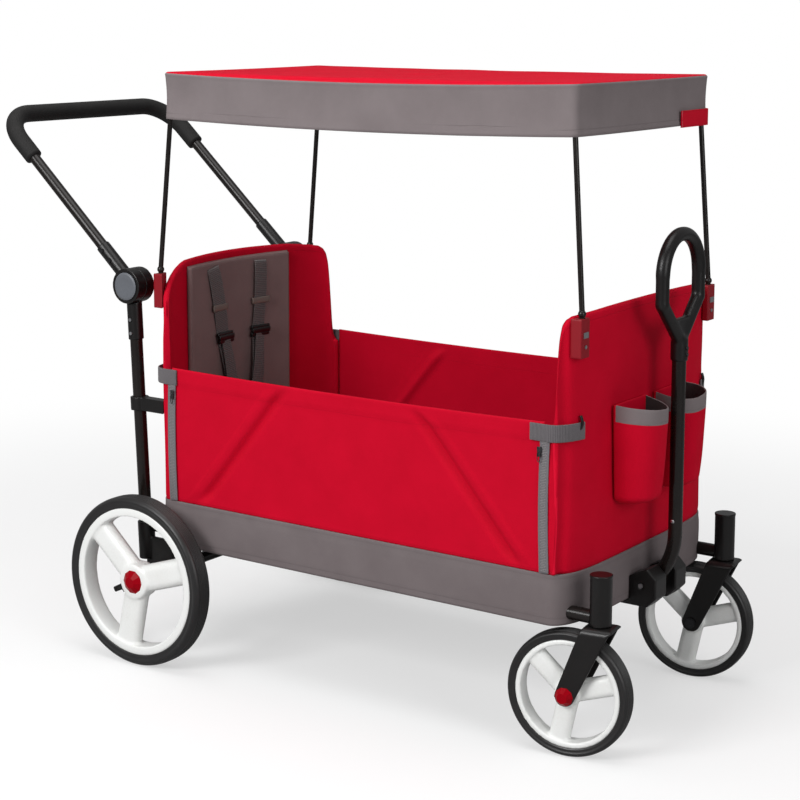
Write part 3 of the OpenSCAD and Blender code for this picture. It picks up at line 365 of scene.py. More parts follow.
# Sewn line: a groove where the seam field is near zero, with dashes of thread along it; the colour in the groove
# is darkened towards near black as painted shade.
def makeStitch():
    tree, use, out = newGroup("sewnSeam", dict(Color="Color", Thread="Color", Step=0.004),
                              dict(Color="Color", Groove="Float"))
    gap = calc(tree, "ABSOLUTE", add(tree, "Attribute", attribute_name="seam").outputs[2])
    along = add(tree, "Attribute", attribute_name="along").outputs[2]
    groove = span(tree, gap, 0.0004, 0.0022, 1.0, 0.0, interpolation_type="SMOOTHSTEP")
    dash = calc(tree, "LESS_THAN", calc(tree, "FRACT", calc(tree, "DIVIDE", along, use["Step"])), 0.68)
    thread = times(tree, times(tree, dash, calc(tree, "LESS_THAN", gap, 0.0006)), 0.6)
    # Painted shade: the groove darkens the cloth's colour by up to 0.16 towards near black.
    shade = mixed(tree, times(tree, groove, 0.16), use["Color"], (0.01, 0.005, 0.005, 1))
    feed(tree, out, {"Color": mixed(tree, thread, shade, use["Thread"]),
                     "Groove": calc(tree, "SUBTRACT", thread, groove)})
    return tree


# Moulded or coated grain: fine pebble as height, slight change of gloss and tone.
def makeGrain():
    tree, use, out = newGroup(
        "fineGrain", dict(Place="Vector", Size=0.001, Tone="Color", Worn="Color", Gloss=0.4, Wear=0.15),
        dict(Color="Color", Height="Float", Rough="Float"))
    scale = calc(tree, "DIVIDE", 1.0, use["Size"])
    pebble = add(tree, "TexVoronoi", {"Vector": use["Place"], "Scale": scale}).outputs[0]
    cloud = noise(tree, use["Place"], 11.0, 6.0, 0.65)
    fine = noise(tree, use["Place"], 260.0, 3.0)
    worn = span(tree, times(tree, cloud, plus(tree, fine, 0.5)), 0.45, 0.75)
    vary = times(tree, calc(tree, "SUBTRACT", cloud, 0.5), 0.22)
    feed(tree, out, {"Color": mixed(tree, times(tree, worn, use["Wear"]), use["Tone"], use["Worn"]),
                     "Height": plus(tree, pebble, times(tree, fine, 0.5)),
                     "Rough": plus(tree, use["Gloss"], vary)})
    return tree


# Dust that settles on faces that look up.
def makeDust():
    tree, use, out = newGroup("settledDust", dict(Color="Color", Amount=0.06), dict(Color="Color"))
    up = add(tree, "SeparateXYZ", {0: add(tree, "NewGeometry").outputs["Normal"]}).outputs[2]
    spot = noise(tree, add(tree, "TexCoord").outputs["Object"], 45.0, 6.0)
    lie = times(tree, times(tree, span(tree, up, 0.1, 1.0), spot), use["Amount"])
    feed(tree, out, {"Color": mixed(tree, lie, use["Color"], (0.45, 0.42, 0.39, 1))})
    return tree


weave, stitch, grain, dust = makeWeave(), makeStitch(), makeGrain(), makeDust()


# The bare node tree of a new material, or of the world.
def cleared(owner):
    owner.use_nodes = True
    owner.node_tree.nodes.clear()
    return owner.node_tree


def startMaterial(name):
    mat = bpy.data.materials.new(name)
    tree = cleared(mat)
    return mat, tree, add(tree, "TexCoord").outputs["Object"]


def grouped(tree, group, values):
    return add(tree, "Group", values, node_tree=group).outputs


def dusted(tree, color, amount):
    return grouped(tree, dust, {"Color": color, "Amount": amount})["Color"]


def bumped(tree, height, strength, distance, **more):
    values = {"Height": height, "Strength": strength, "Distance": distance}
    return add(tree, "Bump", values | more).outputs[0]


def finished(mat, values):
    tree = mat.node_tree
    shader = add(tree, "BsdfPrincipled", values)
    tree.links.new(shader.outputs[0], add(tree, "OutputMaterial").inputs[0])
    return mat


# Cloth: weave, sewn lines with painted shade in their grooves, dust and a soft sheen. turn lays the weave on level
# faces.
def cloth(name, dye, shade, thread=0.0011, sheen=0.15, turn=False, stitchTone=None, dusty=0.05):
    mat, tree, spot = startMaterial(name)
    if turn:
        spot = add(tree, "Mapping", {0: spot, "Rotation": (math.pi / 2, 0, 0)}).outputs[0]
    woven = grouped(tree, weave, {"Place": spot, "Thread": thread, "Dye": rgb(dye), "Shade": rgb(shade),
                                  "Uneven": 0.4})
    sewn = grouped(tree, stitch, {"Color": woven["Color"], "Thread": rgb(stitchTone or shade)})
    low = bumped(tree, sewn["Groove"], 0.25, 0.0012)
    return finished(mat, {
        "Base Color": dusted(tree, sewn["Color"], dusty), "Roughness": woven["Rough"],
        "Normal": bumped(tree, woven["Height"], 0.25, 0.0003, Normal=low), "Sheen Weight": sheen,
        "Sheen Roughness": 0.45, "Sheen Tint": rgb(dye), "Specular IOR Level": 0.08})


# Hard finish: grain on plastic, rubber or coated metal.
def hard(name, tone, worn, size=0.0008, gloss=0.4, wear=0.2, bump=0.12, metal=0.0, coat=0.0, dusty=0.04,
         level=0.5):
    mat, tree, spot = startMaterial(name)
    g = grouped(tree, grain, {"Place": spot, "Size": size, "Tone": rgb(tone), "Worn": rgb(worn),
                              "Gloss": gloss, "Wear": wear})
    return finished(mat, {
        "Base Color": dusted(tree, g["Color"], dusty), "Roughness": g["Rough"],
        "Normal": bumped(tree, g["Height"], bump, 0.0003), "Metallic": metal, "Coat Weight": coat,
        "Coat Roughness": 0.12, "Specular IOR Level": level})


# Ribbed elastic or webbing: ribs across the strip's own length, from its "along" field. The colour is darker in
# the valleys between ribs as painted shade; the specks are the thread's own uneven tone.
def ribbed(name, tone, low, step, bump):
    mat, tree, spot = startMaterial(name)
    along = add(tree, "Attribute", attribute_name="along").outputs[2]
    rib = calc(tree, "ABSOLUTE", calc(tree, "SINE", times(tree, along, math.pi / step)))
    speck = noise(tree, spot, 700.0, 2.0)
    # Painted shade: the colour goes towards the darker tone in the rib valleys and towards the lighter tone on the
    # crests.
    color = mixed(tree, times(tree, plus(tree, rib, speck), 0.6), rgb(low), rgb(tone))
    return finished(mat, {
        "Base Color": dusted(tree, color, 0.05),
        "Normal": bumped(tree, plus(tree, rib, times(tree, speck, 0.5)), bump, 0.0006),
        "Roughness": 0.8, "Sheen Weight": 0.2, "Specular IOR Level": 0.25})


redCanvas = cloth("redCanvas", (202, 5, 40), (181, 3, 31), stitchTone=(222, 60, 75), dusty=0.015,
                  sheen=0.06)
# A lighter red than redCanvas: a painted highlight along the front corner rolls.
redRollHighlight = cloth("redRollHighlight", (222, 16, 50), (200, 8, 40), stitchTone=(222, 60, 75), dusty=0.0, sheen=0.5)
redTop = cloth("redCanopyTop", (212, 6, 41), (190, 3, 32), turn=True, stitchTone=(225, 60, 75), dusty=0.015,
               sheen=0.02)
greyBase = cloth("greyBaseCanvas", (119, 110, 111), (100, 91, 92), stitchTone=(140, 130, 128))
greyCanvas = cloth("greyCanvas", (130, 121, 122), (110, 101, 102), stitchTone=(150, 140, 138))
padCloth = cloth("taupePadCloth", (132, 110, 109), (112, 92, 91), thread=0.0014, stitchTone=(120, 108, 104))
matCloth = cloth("taupeMatCloth", (104, 82, 82), (86, 66, 66), thread=0.0014, turn=True)
liningCloth = cloth("darkLining", (62, 58, 58), (44, 41, 41), sheen=0.1)
tagCloth = cloth("redTag", (205, 18, 44), (176, 10, 32), thread=0.0007, sheen=0.4,
                 stitchTone=(235, 120, 130))
strapElastic = ribbed("greyElastic", (114, 109, 112), (52, 50, 53), 0.0024, bump=0.9)
harnessWeb = ribbed("darkWebbing", (112, 104, 104), (44, 41, 42), 0.0034, bump=1.0)
zipTape = ribbed("zipTape", (122, 118, 122), (84, 80, 86), 0.0012, bump=0.3)
blackTube = hard("blackPowderCoat", (20, 15, 13), (38, 31, 28), size=0.0006, gloss=0.27, bump=0.04,
                 wear=0.25, level=0.36, dusty=0.01)
blackPlastic = hard("blackMoulded", (14, 12, 12), (28, 26, 25), gloss=0.34, bump=0.07, wear=0.25,
                    level=0.36, dusty=0.01)
gripFoam = hard("blackFoam", (24, 23, 23), (40, 39, 39), size=0.0011, gloss=0.7, bump=0.5, wear=0.4,
                level=0.3)
tyreRubber = hard("tyreRubber", (20, 19, 20), (46, 44, 43), wear=0.3, level=0.55)
whiteRim = hard("whiteRim", (242, 243, 241), (228, 228, 224), size=0.0016, gloss=0.36, bump=0.01, wear=0.4,
                coat=0.15)
redGloss = hard("redGloss", (150, 3, 19), (122, 3, 15), size=0.002, gloss=0.3, bump=0.01, wear=0.05,
                level=0.05, dusty=0.0)
redMoulded = hard("redMoulded", (138, 6, 24), (112, 5, 18), size=0.001, gloss=0.5, bump=0.08, level=0.3)
zipSteel = hard("zipTeeth", (150, 146, 147), (120, 116, 117), gloss=0.42, bump=0.03, metal=0.4)
glidePlastic = hard("taupeGlide", (112, 99, 92), (92, 80, 74), bump=0.06)
greyButton = hard("greyButton", (98, 101, 107), (72, 74, 80), size=0.0007, bump=0.06)
brightSteel = hard("brightSteel", (190, 191, 194), (130, 130, 134), size=0.0012, gloss=0.3, bump=0.03,
                   metal=1.0, wear=0.5)
darkSteel = hard("darkSteel", (44, 44, 46), (90, 90, 92), size=0.0009, gloss=0.35, bump=0.04, metal=0.6,
                 wear=0.4)
boardBlack = hard("floorBoard", (34, 33, 34), (60, 58, 57), size=0.002, gloss=0.6, bump=0.15, wear=0.4)
print("finishes done")


# Puts materials in an object's slots; slots that are there are filled, so painted faces keep their numbers.
def wear(obj, *mats):
    slots = obj.data.materials
    for i, mat in enumerate(mats):
        if i < len(slots):
            slots[i] = mat
        else:
            slots.append(mat)


def place(piece, body, slot, mats, *replaced):
    wear(piece, *(mats if isinstance(mats, list) else [mats]))
    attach(piece, body)
    if replaced:
        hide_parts(*replaced)
    return piece


# Makes a piece's modifiers part of its mesh.
def settled(piece):
    graph = bpy.context.evaluated_depsgraph_get()
    mesh = bpy.data.meshes.new_from_object(piece.evaluated_get(graph))
    piece.modifiers.clear()
    piece.data = mesh
    return piece


# Moulded pieces: the solid's own shape with its edges and inner corners rounded.

mouldings = dict(   # size of the cells in mm and smoothing passes, by how the node's name ends
    rear_rim=(1.9, 16), front_rim=(1.6, 14), fork=(1.4, 8), knuckle_bases=(1.3, 4), knuckle_arms=(1.3, 4),
    stem_housings=(1.3, 3), pull_bracket=(1.4, 16), pull_grip=(1.6, 36), rear_brackets=(1.7, 4),
    upright_clamps=(1.3, 3), brake_pedal=(1.4, 4), pole_sockets=(1.3, 3))
mouldedFinish = dict(rear_rim=(whiteRim, "rim"), front_rim=(whiteRim, "rim"),
                     pole_sockets=(redMoulded, "red_plastic"))


def mouldedPiece(node, cell, passes, mat, slot):
    mesh = nodes[node].data.copy()
    work = bmesh.new()
    work.from_mesh(mesh)
    bmesh.ops.remove_doubles(work, verts=work.verts, dist=2e-5)
    work.to_mesh(mesh)
    work.free()
    piece = bpy.data.objects.new("moulded_" + node, mesh)
    scene.collection.objects.link(piece)
    cells = piece.modifiers.new("cells", "REMESH")
    cells.mode, cells.voxel_size, cells.use_smooth_shade = "VOXEL", cell / 1000, True
    soften = piece.modifiers.new("soften", "SMOOTH")
    soften.factor, soften.iterations = 0.5, passes
    settled(piece)
    piece.data.polygons.foreach_set("use_smooth", np.ones(len(piece.data.polygons), bool))
    place(piece, bodyOf[node], slot, mat, node)


for ending, (cell, passes) in mouldings.items():
    mat, slot = mouldedFinish.get(ending, (blackPlastic, "black_plastic"))
    for node in sorted((name for name in nodes if name.endswith(ending)), reverse=True):
        mouldedPiece(node, cell, passes, mat, slot)
print("moulded pieces done")


# Tyres: a grooved profile turned about the axle.

tyres = dict(rear=dict(radius=0.1499, bead=0.1300, width=0.038),
             front=dict(radius=0.0999, bead=0.0858, width=0.032))
tread = Settings(grooves=np.arange(-2.5, 3) * 0.0038, wide=0.0007, deep=0.0011, lip=0.004, drop=0.36,
                 crown=0.0004, narrow=0.16, swell=0.02, inner=0.3)


# Profile: bead, bulged sidewall, round shoulder and a tread with grooves, mirrored across the middle.
def tyreProfile(radius, bead, width):
    t = np.linspace(-1, 1, 121)
    r = radius - (radius - bead - tread.lip) * tread.drop * np.abs(t) ** 5 - tread.crown * t ** 2
    groove = sum(bell(t * width / 2 - g, tread.wide) for g in tread.grooves)
    face = points(r - tread.deep * groove, t * width / 2)
    down = np.linspace(0, 1, 12)[1:]
    out = width / 2 * (1 - tread.narrow * down ** 2 + tread.swell * np.sin(down * 9))
    low = points(face[-1, 0] + (bead - face[-1, 0]) * down, out)
    inner = np.array([[bead, width], [bead, -width]]) * [1, tread.inner]
    return np.concatenate([low[::-1] * [1, -1], face, low, inner])


for end, shape in tyres.items():
    for side, _ in sides:
        node = f"{side}_{end}_tyre"
        axis = next(j["axis"] for j in frame["joints"] if j["child"] == bodyOf[node])
        lo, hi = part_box(node)
        p = turned(tyreProfile(**shape), (lo + hi) / 2, axis, 144)[0]
        place(built("tread_" + node, [(p, True, True)], sharp=40), bodyOf[node], "tyre", tyreRubber, node)
print("tyres done")


# Carried-over solids.

coats = {
    blackTube: ["floor_rails", "floor_cross_tubes", "uprights", "rear_axle", "push_bar", "pull_tube",
                "canopy_frame", "front_poles", "rear_poles"],
    boardBlack: ["floor_board"],
    redGloss: ["right_front_cap", "left_front_cap", "right_hub_cap", "left_hub_cap"],
    brightSteel: ["frame_fasteners"],
    darkSteel: ["push_handle_screws", "pull_grip_screws", "right_wheel_bolt", "left_wheel_bolt"],
}
for mat, names in coats.items():
    for name in names:
        wear(nodes[name], mat)


# Pin ends on the pull tube: small steel domes on its two sides.

pin = Settings(radius=0.0034, proud=0.0012, back=0.01125, y=0.0111, z=0.331)
r = np.linspace(0, 1, 9)
dome = points(r * pin.radius, pin.proud * np.sqrt(1 - r ** 2))
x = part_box("pull_tube")[1].x - pin.back
grids = [turned(dome, (x, sign * pin.y, pin.z), (0, sign, 0), 24) for _, sign in sides]
place(built("pull_tube_pins", grids), "pull_handle", "steel", brightSteel)


# Release buttons: a shallow dish with a rolled edge and a bevelled back.

button = Settings(radius=0.0244, proud=0.0062, dish=0.0012, drop=0.0018, lip=0.0005, lipAt=0.86,
                  lipWide=0.03, wall=0.0032, back=0.0008, bevel=0.0022)
r = np.linspace(0, 1, 24)
top = (button.proud - button.drop * r ** 6 - button.dish * (1 - r ** 2) ** 2
       + button.lip * bell(r - button.lipAt, button.lipWide))
rear = points(button.radius * np.array([1, 1, 0]) - [0, button.bevel, 0],
              [button.wall, button.back, button.back])
profile = np.concatenate([points(r * button.radius, top), rear])
for side, sign in sides:
    node = side + "_knuckle_button"
    lo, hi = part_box(node)
    seat = [(lo.x + hi.x) / 2, lo.y if sign > 0 else hi.y, (lo.z + hi.z) / 2]
    cap = turned(profile * [1, (hi.y - lo.y) / button.proud], seat, (0, sign, 0), 72)
    place(built(side + "_button_cap", [cap], sharp=50), bodyOf[node], "grey_plastic", greyButton, node)


# Foam grip: a round section along the handle's bend, ends rolled in.

grip = Settings(radius=0.016, arm=0.112, bend=0.068, halfWidth=0.223, length=0.430, angle=42, roll=0.004,
                bore=0.0101, endShare=0.66, waist=0.02)
hinge = next(j["pos_m"] for j in frame["joints"] if j["name"] == "push_handle_fold")
tilt = math.radians(grip.angle)


# Middle line of the grip: up one arm, round the bend and across, then mirrored, on the handle's slope.
def gripPath(count):
    f = np.linspace(0, np.pi / 2, 24)
    b, w, top = grip.bend, grip.halfWidth, grip.length
    arm = points(-w, np.linspace(top - grip.arm, top - b, 16))
    turnIn = points(-w + b - b * np.cos(f), top - b + b * np.sin(f))[1:]
    half = np.concatenate([arm, turnIn, [[0, top]]])
    line, s = evenly(np.concatenate([half, (half * [-1, 1])[::-1][1:]]), count)
    y, up = line.T
    return points(hinge[0] - up * math.cos(tilt), y, hinge[2] + up * math.sin(tilt)), s


path, s = gripPath(220)
near = np.minimum(s, s[-1] - s)
swell = roundOver(near, grip.roll) * (1 - grip.waist * bell(near, 0.02))
off = np.array([math.sin(tilt), 0, math.cos(tilt)])
across = np.cross(unit(np.gradient(path, axis=0)), off)
f = np.linspace(0, 2 * np.pi, 40, endpoint=False)
ring = np.cos(f)[None, :, None] * off + np.sin(f)[None, :, None] * across[:, None]
radius = grip.radius * (grip.endShare + (1 - grip.endShare) * swell)
ends = path[[0, -1], None] + ring[[0, -1]] * grip.bore
p = np.concatenate([ends[:1], path[:, None] + ring * radius[:, None, None], ends[1:]])
place(built("foam_grip", [(p, False, True)], sharp=60), "push_handle", "foam", gripFoam, "push_grip")
print("handle done")


# End walls: padded cloth walls round each end, lower at the zips.

walls = dict(front=Settings(top=0.688, crown=0.003, seed=3, ridge=1.0, last="tight"),
             rear=Settings(top=0.697, crown=0.005, seed=5, ridge=0.5, last="loose"))
wall = Settings(thick=0.012, bulge=0.002, soft=0.0011, inset=0.0012, tuck=0.0012, ridge=0.0042,
                ridgeAt=0.020, hollow=0.0030, hem=0.013, foot=0.004, wing=0.135, steep=0.05)
wingFoot = [[0, .500], [.008, .503], [.014, .512], [.0175, .530]]
wingLines = dict(   # run from the zip, height of the top edge
    tight=np.array(wingFoot + [[.020, .575], [.0225, .620], [.026, .650], [.031, .668], [.038, .677],
                               [.048, .682], [.070, .684], [.118, .686], [.135, .6865]]),
    loose=np.array(wingFoot + [[.020, .565], [.024, .600], [.032, .625], [.045, .645], [.063, .661],
                               [.080, .671], [.096, .678], [.118, .684], [.135, .6865]]))


# Top edge along the wall: low at the zips, up round the corners, then the crowned top.
def wallTop(path, s, top, crown, last):
    lines = [top - crown * (path[:, 1] / 0.2) ** 2]
    for run, wing in ((s, wingLines["tight"]), (s[-1] - s, wingLines[last])):
        extra = (top - walls["front"].top) * wing[:, 0] / wall.wing
        lines.append(np.where(run < wall.wing, np.interp(run, wing[:, 0], wing[:, 1] + extra), 9))
    kernel = np.hanning(7) / np.hanning(7).sum()
    return np.convolve(np.pad(np.minimum.reduce(lines), 3, mode="edge"), kernel, mode="valid")


# Columns of a wall: close together at the steep ends, wider apart between.
def wingSteps(path, s):
    ends = np.linspace(0, wall.steep, 70)
    inner = wall.steep + 0.0015
    at = np.concatenate([ends, np.linspace(inner, s[-1] - inner, 240), s[-1] - ends[::-1]])
    return pointsAt(path, s, at), at


for name, w in walls.items():
    path, s = wingSteps(*endPath(name == "front", -bed.inset, 1200))
    top = wallTop(path, s, w.top, w.crown, w.last)

    # A soft belly, a tuck above the base band, and a ridge beside each zip with a hollow behind it.
    def wallLift(s, share, z, depth):
        near = np.minimum(s, s.max() - s)
        soft = ripple(s * 1.6, z * 2.2, w.seed) * wall.soft * arch(share) ** 0.5
        belly = -wall.bulge * arch(share) * ease(near, 0.05, 0.18)
        tuck = -wall.tuck * bell(z - bed.top, 0.006)
        edge = near - wall.ridgeAt - 0.002 * np.sin(z * 17)
        ridge = wall.ridge * bell(edge, 0.0038) - wall.hollow * bell(edge - 0.013, 0.009)
        outer = soft - wall.inset + tuck + w.ridge * ridge
        return np.where(depth > -0.5, outer, soft * 0.6) + belly * 0.5

    p, below = clothWall(path, s, bed.top + bed.inset, top, wall.thick, wallLift, 64)
    seam = np.minimum(np.abs(below - wall.hem), np.abs(p[..., 2] - bed.top - wall.foot))
    piece = built(name + "_wall_cloth", [(p, False, True)], dict(seam=seam, along=s[:, None] + 0 * below))
    place(piece, "chassis", "red_fabric", redCanvas, name + "_wall")
print("end walls done")


# Base band: a stiff grey band round the bed, with bound edges.

base = Settings(thick=0.004, edge=0.010, hem=0.007, bind=0.0007, soft=0.0008)


def baseLift(s, share, z, depth):
    bind = -base.bind * ease(np.abs(share - 0.5), 0.30, 0.42)
    return bind + ripple(s * 1.5, z * 4, 11) * base.soft * arch(share)


path, s = bedLoop(-bed.inset, 330, 900)
p, below = clothWall(path, s, bed.low, np.full(len(s), bed.top), base.thick, baseLift, 22, loop=True)
seam = np.minimum(np.abs(below - base.hem), np.abs(p[..., 2] - bed.low - base.edge))
piece = built("base_band_cloth", [(p, True, True)], dict(seam=seam, along=s[:, None] + 0 * below))
place(piece, "chassis", "grey_fabric", greyBase, "base_band")
print("base band done")


# Side panels: hemmed cloth with a slack top edge and two slanting tucks.

panel = Settings(low=0.2865, high=0.522, sag=0.004, thick=0.0056, half=0.373, hem=0.031, hemThick=0.0013,
                 foot=0.004, band=0.020, tuck=0.0018, valley=0.0078, valleyWide=0.0085, pull=0.002,
                 soft=0.0020, fine=0.0006, inset=0.0024, lining=0.0004)
bandLines = [((0.149, 0.5185), (0.335, 0.3045)), ((-0.143, 0.5185), (-0.318, 0.3055))]


# Signed distance from a sloping line in the panel's own plane.
def lineGap(x, z, ends):
    (x0, z0), (x1, z1) = ends
    return ((x - x0) * (z1 - z0) - (z - z0) * (x1 - x0)) / math.hypot(x1 - x0, z1 - z0)


def panelTop(x):
    return panel.high - panel.sag * (1 - (x / panel.half) ** 2)


# Each tuck stands up between two lines, and the cloth falls away in a soft valley on its inner side.
def panelLift(s, share, z, depth):
    x, half = s - panel.half, panel.band / 2
    free = arch(share) * arch(s / s.max())
    soft = ripple(x * 1.3, z * 1.7, 21) * panel.soft * np.sqrt(free)
    soft = soft + ripple(x * 3.1, z * 2.4, 23) * panel.fine * free
    gaps = [lineGap(x, z, line) * np.sign(line[0][0]) for line in bandLines]
    sewn = sum(panel.tuck * (1 - ease(np.abs(g), half - 0.005, half + 0.004)) for g in gaps)
    valley = sum(-panel.valley * bell(g - half - 0.006, panel.valleyWide) for g in gaps)
    pull = sum(-panel.pull * bell(g, 0.05) for g in gaps) * free
    down = panelTop(x) - z
    hem = panel.hemThick * (1 - ease(down, panel.hem - 0.010, panel.hem + 0.004))
    calm = ease(down, 0.004, 0.03) * ease(z, panel.low, panel.low + 0.026)
    outer = soft + (sewn + valley) * calm + pull + hem - panel.inset
    return np.where(depth > -0.5, outer, soft + (valley - sewn * 0.6) * calm + pull + panel.lining)


x = np.linspace(-panel.half, panel.half, 300)
path = points(bedX + x, -bed.width / 2)
for side, sign in sides:
    p, below = clothWall(path, x + panel.half, panel.low, panelTop(x), panel.thick, panelLift, 74)
    across, z = p[..., 0] - bedX, p[..., 2]
    gaps = [np.abs(below - panel.hem) + 0.0012, np.abs(z - panel.low - panel.foot)]
    for line in bandLines:
        gaps.append(np.abs(np.abs(lineGap(across, z, line)) - panel.band / 2 + 0.003) + 0.0012)
    along = np.where(gaps[0] < np.minimum(*gaps[2:]), across, z * 1.4)
    p[..., 1] *= -sign
    fields = dict(seam=np.minimum.reduce(gaps), along=along)
    piece = built(side + "_panel_cloth", [(p, False, True)], fields)
    place(piece, side + "_side", "red_fabric", redCanvas, side + "_side_panel")
print("side panels done")


# Zips: tape with two rows of teeth, and a slider with a pull tab.

zipper = Settings(ends=dict(rear=-0.3705, front=0.3755), width=0.017, thick=0.0016, low=0.2875,
                  high=0.494, pitch=0.0026, proud=0.0006, lean=0.0006, sway=0.0022,
                  tooth=(0.0044, 0.0008, 0.0011))
slider = Settings(length=0.015, width=0.0078, thick=0.0028, out=0.0015, tabWide=0.0026, tabHigh=0.0085,
                  tabDown=0.0145, tabOut=0.0032, wire=(0.0011, 0.0013))


# A zip's x at each height: it wanders a little off the plumb line.
def zipLine(end, z):
    return bedX + zipper.ends[end] - zipper.sway * np.sin((z - 0.30) * 16)


for side, sign in sides:
    face = sign * (bed.width / 2 + zipper.proud)
    grids, centres = [], []
    for end in zipper.ends:
        z = np.linspace(zipper.low, zipper.high, 60)
        line = points(zipLine(end, z), face, z)
        grids.append(strip(line, (1, 0, 0), zipper.width, zipper.thick, count=14))
        z = np.arange(zipper.low + 0.004, zipper.high - 0.002, zipper.pitch)
        lean = np.where(np.arange(len(z)) % 2 == 0, -zipper.lean, zipper.lean)
        centres.append(points(zipLine(end, z) + lean, face + sign * zipper.proud, z))
    piece = built(side + "_zip_tapes", grids, dict(along=np.stack([g[0][..., 2] for g in grids])))
    place(piece, side + "_side", "grey_fabric", zipTape)
    teeth = studs(np.concatenate(centres), (1, 0, 0), (0, 0, 1), (0, sign, 0), np.array(zipper.tooth))
    place(solid(side + "_zip_teeth", *teeth, merge=1e-7, sharp=30), side + "_side", "steel", zipSteel)
    for end in zipper.ends:
        node = f"{side}_{end}_zip_slider"
        lo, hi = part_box(node)
        x, y, top = (lo.x + hi.x) / 2, lo.y if sign > 0 else hi.y, hi.z
        z = np.linspace(top - slider.length, top, 24)
        shell = strip(points(x, y + sign * slider.out, z), (1, 0, 0), slider.width, slider.thick, 0.5)
        grow = 0.7 + 0.3 * ease(z, top - 0.012, top - 0.004)
        shell[0][1:-1, :, 0] = x + (shell[0][1:-1, :, 0] - x) * grow[:, None]
        f = np.linspace(0, 2 * np.pi, 40)
        line = points(x + slider.tabWide * np.sin(f), y + sign * slider.tabOut,
                      top - slider.tabDown + slider.tabHigh * np.cos(f))
        tab = strip(line, (0, 1, 0), *slider.wire, 0.9, 10)
        place(built(node + "_metal", [shell, tab]), bodyOf[node], "steel", darkSteel, node)
print("zips done")


# Corner straps: ribbed elastic that wraps each corner.

strap = Settings(height=0.027, thick=0.0026, z=0.5060, out=0.0017)
strapEnds = dict(front=Settings(x=0.350, y=0.197, bow=0.0016, bowAt=0.42),
                 rear=Settings(x=-0.359, y=0.192, bow=0.0055, bowAt=0.55))
for side, sign in sides:
    grids, alongs = [], []
    for end, e in strapEnds.items():
        way = 1 if (end == "front") == (sign < 0) else -1
        near = endPath(end == "front", strap.out, 400)[0][::way][:200]
        near = near[np.abs(near[:, 1]) >= e.y]
        plan, s = evenly(np.concatenate([[[bedX + e.x, near[0, 1]]], near]), 90)
        bow = way * e.bow * bell(s - s[-1] * e.bowAt, 0.02)
        path = raised(plan + planNormal(plan) * bow[:, None], strap.z)
        grids.append(strip(path, (0, 0, 1), strap.height, strap.thick, 0.22, 20))
        alongs.append(stripRun(grids[-1], s))
    piece = built(side + "_corner_elastic", grids, dict(along=np.concatenate(alongs)))
    place(piece, side + "_side", "grey_fabric", strapElastic, side + "_corner_straps")
print("straps done")


# Corner rolls: the cloth of the front wall rolled over a thin cord beside each zip, in a lighter red as a painted
# highlight along the corner.

roll = Settings(run=0.0195, wide=0.0052, high=0.0040, low=0.2875, top=0.504, out=0.0006, sway=0.0022)
line, s = endPath(True, roll.out, 800)
z = np.linspace(roll.low, roll.top, 90)
run = roll.run + roll.sway * np.sin(z * 21) * ease(z, roll.low, 0.36)
grids = []
for row in (line, line[::-1]):
    path = raised(pointsAt(row, s, run), z)
    grids.append(strip(path, (1, np.sign(row[0, 1]) * -0.6, 0), roll.wide, roll.high, 1.0, 14))
noSeam = np.ones(sum(g[0].size for g in grids) // 3)
place(built("front_corner_rolls", grids, dict(seam=noSeam)), "chassis", "red_fabric", redRollHighlight)


# Hooks: a small dark loop on the front wall that each front strap ends in.

hook = Settings(y=0.2065, low=0.508, high=0.530, bow=0.003, wide=0.006, thick=0.003, out=0.0012)
line, _ = endPath(True, hook.out, 600)
bow = hook.bow * arch(np.linspace(0, 1, 24))
grids = []
for _, sign in sides:
    spot = line[np.argmin(np.abs(line[:, 1] - sign * hook.y))]
    path = points(spot[0] + bow, spot[1], np.linspace(hook.low, hook.high, 24))
    grids.append(strip(path, (0, 1, 0), hook.wide, hook.thick, 0.5, 12))
place(built("strap_hooks", grids), "chassis", "black_plastic", blackPlastic)


# Canopy: one sheet over the frame, drawn down at the edges, with a deep hem.

canopy = Settings(length=0.814, width=0.446, x=0.002, low=0.950, high=1.030, corner=0.015, round=0.006,
                  thick=0.0016, sag=0.007, edgeSag=0.0095, endSag=0.0012, soft=0.0012, billow=0.0022,
                  drawIn=0.0015, inset=0.0008, hem=0.010, hemRows=16, topFrom=18)
halfLong, halfWide = canopy.length / 2, canopy.width / 2


# Plan of the canopy: a rectangle with round corners, anticlockwise, evenly stepped.
def canopyPlan(count):
    a, b = halfLong - canopy.corner, halfWide - canopy.corner
    f = np.linspace(0, np.pi / 2, 14)
    quarter = points(np.cos(f), np.sin(f)) * canopy.corner
    other = quarter[:, ::-1]
    turns = [quarter + [a, b], other * [-1, 1] + [-a, b], -quarter - [a, b], other * [1, -1] + [a, -b]]
    return evenLoop(np.concatenate(turns), count)


plan, s = canopyPlan(440)
n = planNormal(plan, loop=True)
u, v = plan[:, :1] / halfLong, plan[:, 1:] / halfWide
drop = canopy.edgeSag * (1 - u ** 2) * (np.abs(plan[:, 1:]) > 0.195)
drop = drop + canopy.endSag * (1 - v ** 2) * (np.abs(plan[:, :1]) > 0.38)
r = canopy.round
hemShare = np.linspace(0, 1, canopy.hemRows)
arc = np.linspace(0, np.pi / 2, 7)[1:]
inShare = np.linspace(0, 1, 56)[1:] ** 1.6
hemZ = canopy.low - 0.75 * drop + hemShare * (canopy.high - r - canopy.low - 0.05 * drop)
billow = canopy.billow * ripple(plan[:, :1] * 2.2, plan[:, 1:] * 2.2, 31) - canopy.drawIn
billow = billow * arch(hemShare)
hemXy = plan[:, None] + n[:, None] * (billow[..., None] - canopy.inset)
edgeXy = plan[:, None] - n[:, None] * (r * (1 - np.cos(arc)))[:, None]
edgeZ = canopy.high - r + r * np.sin(arc) - 0.8 * drop
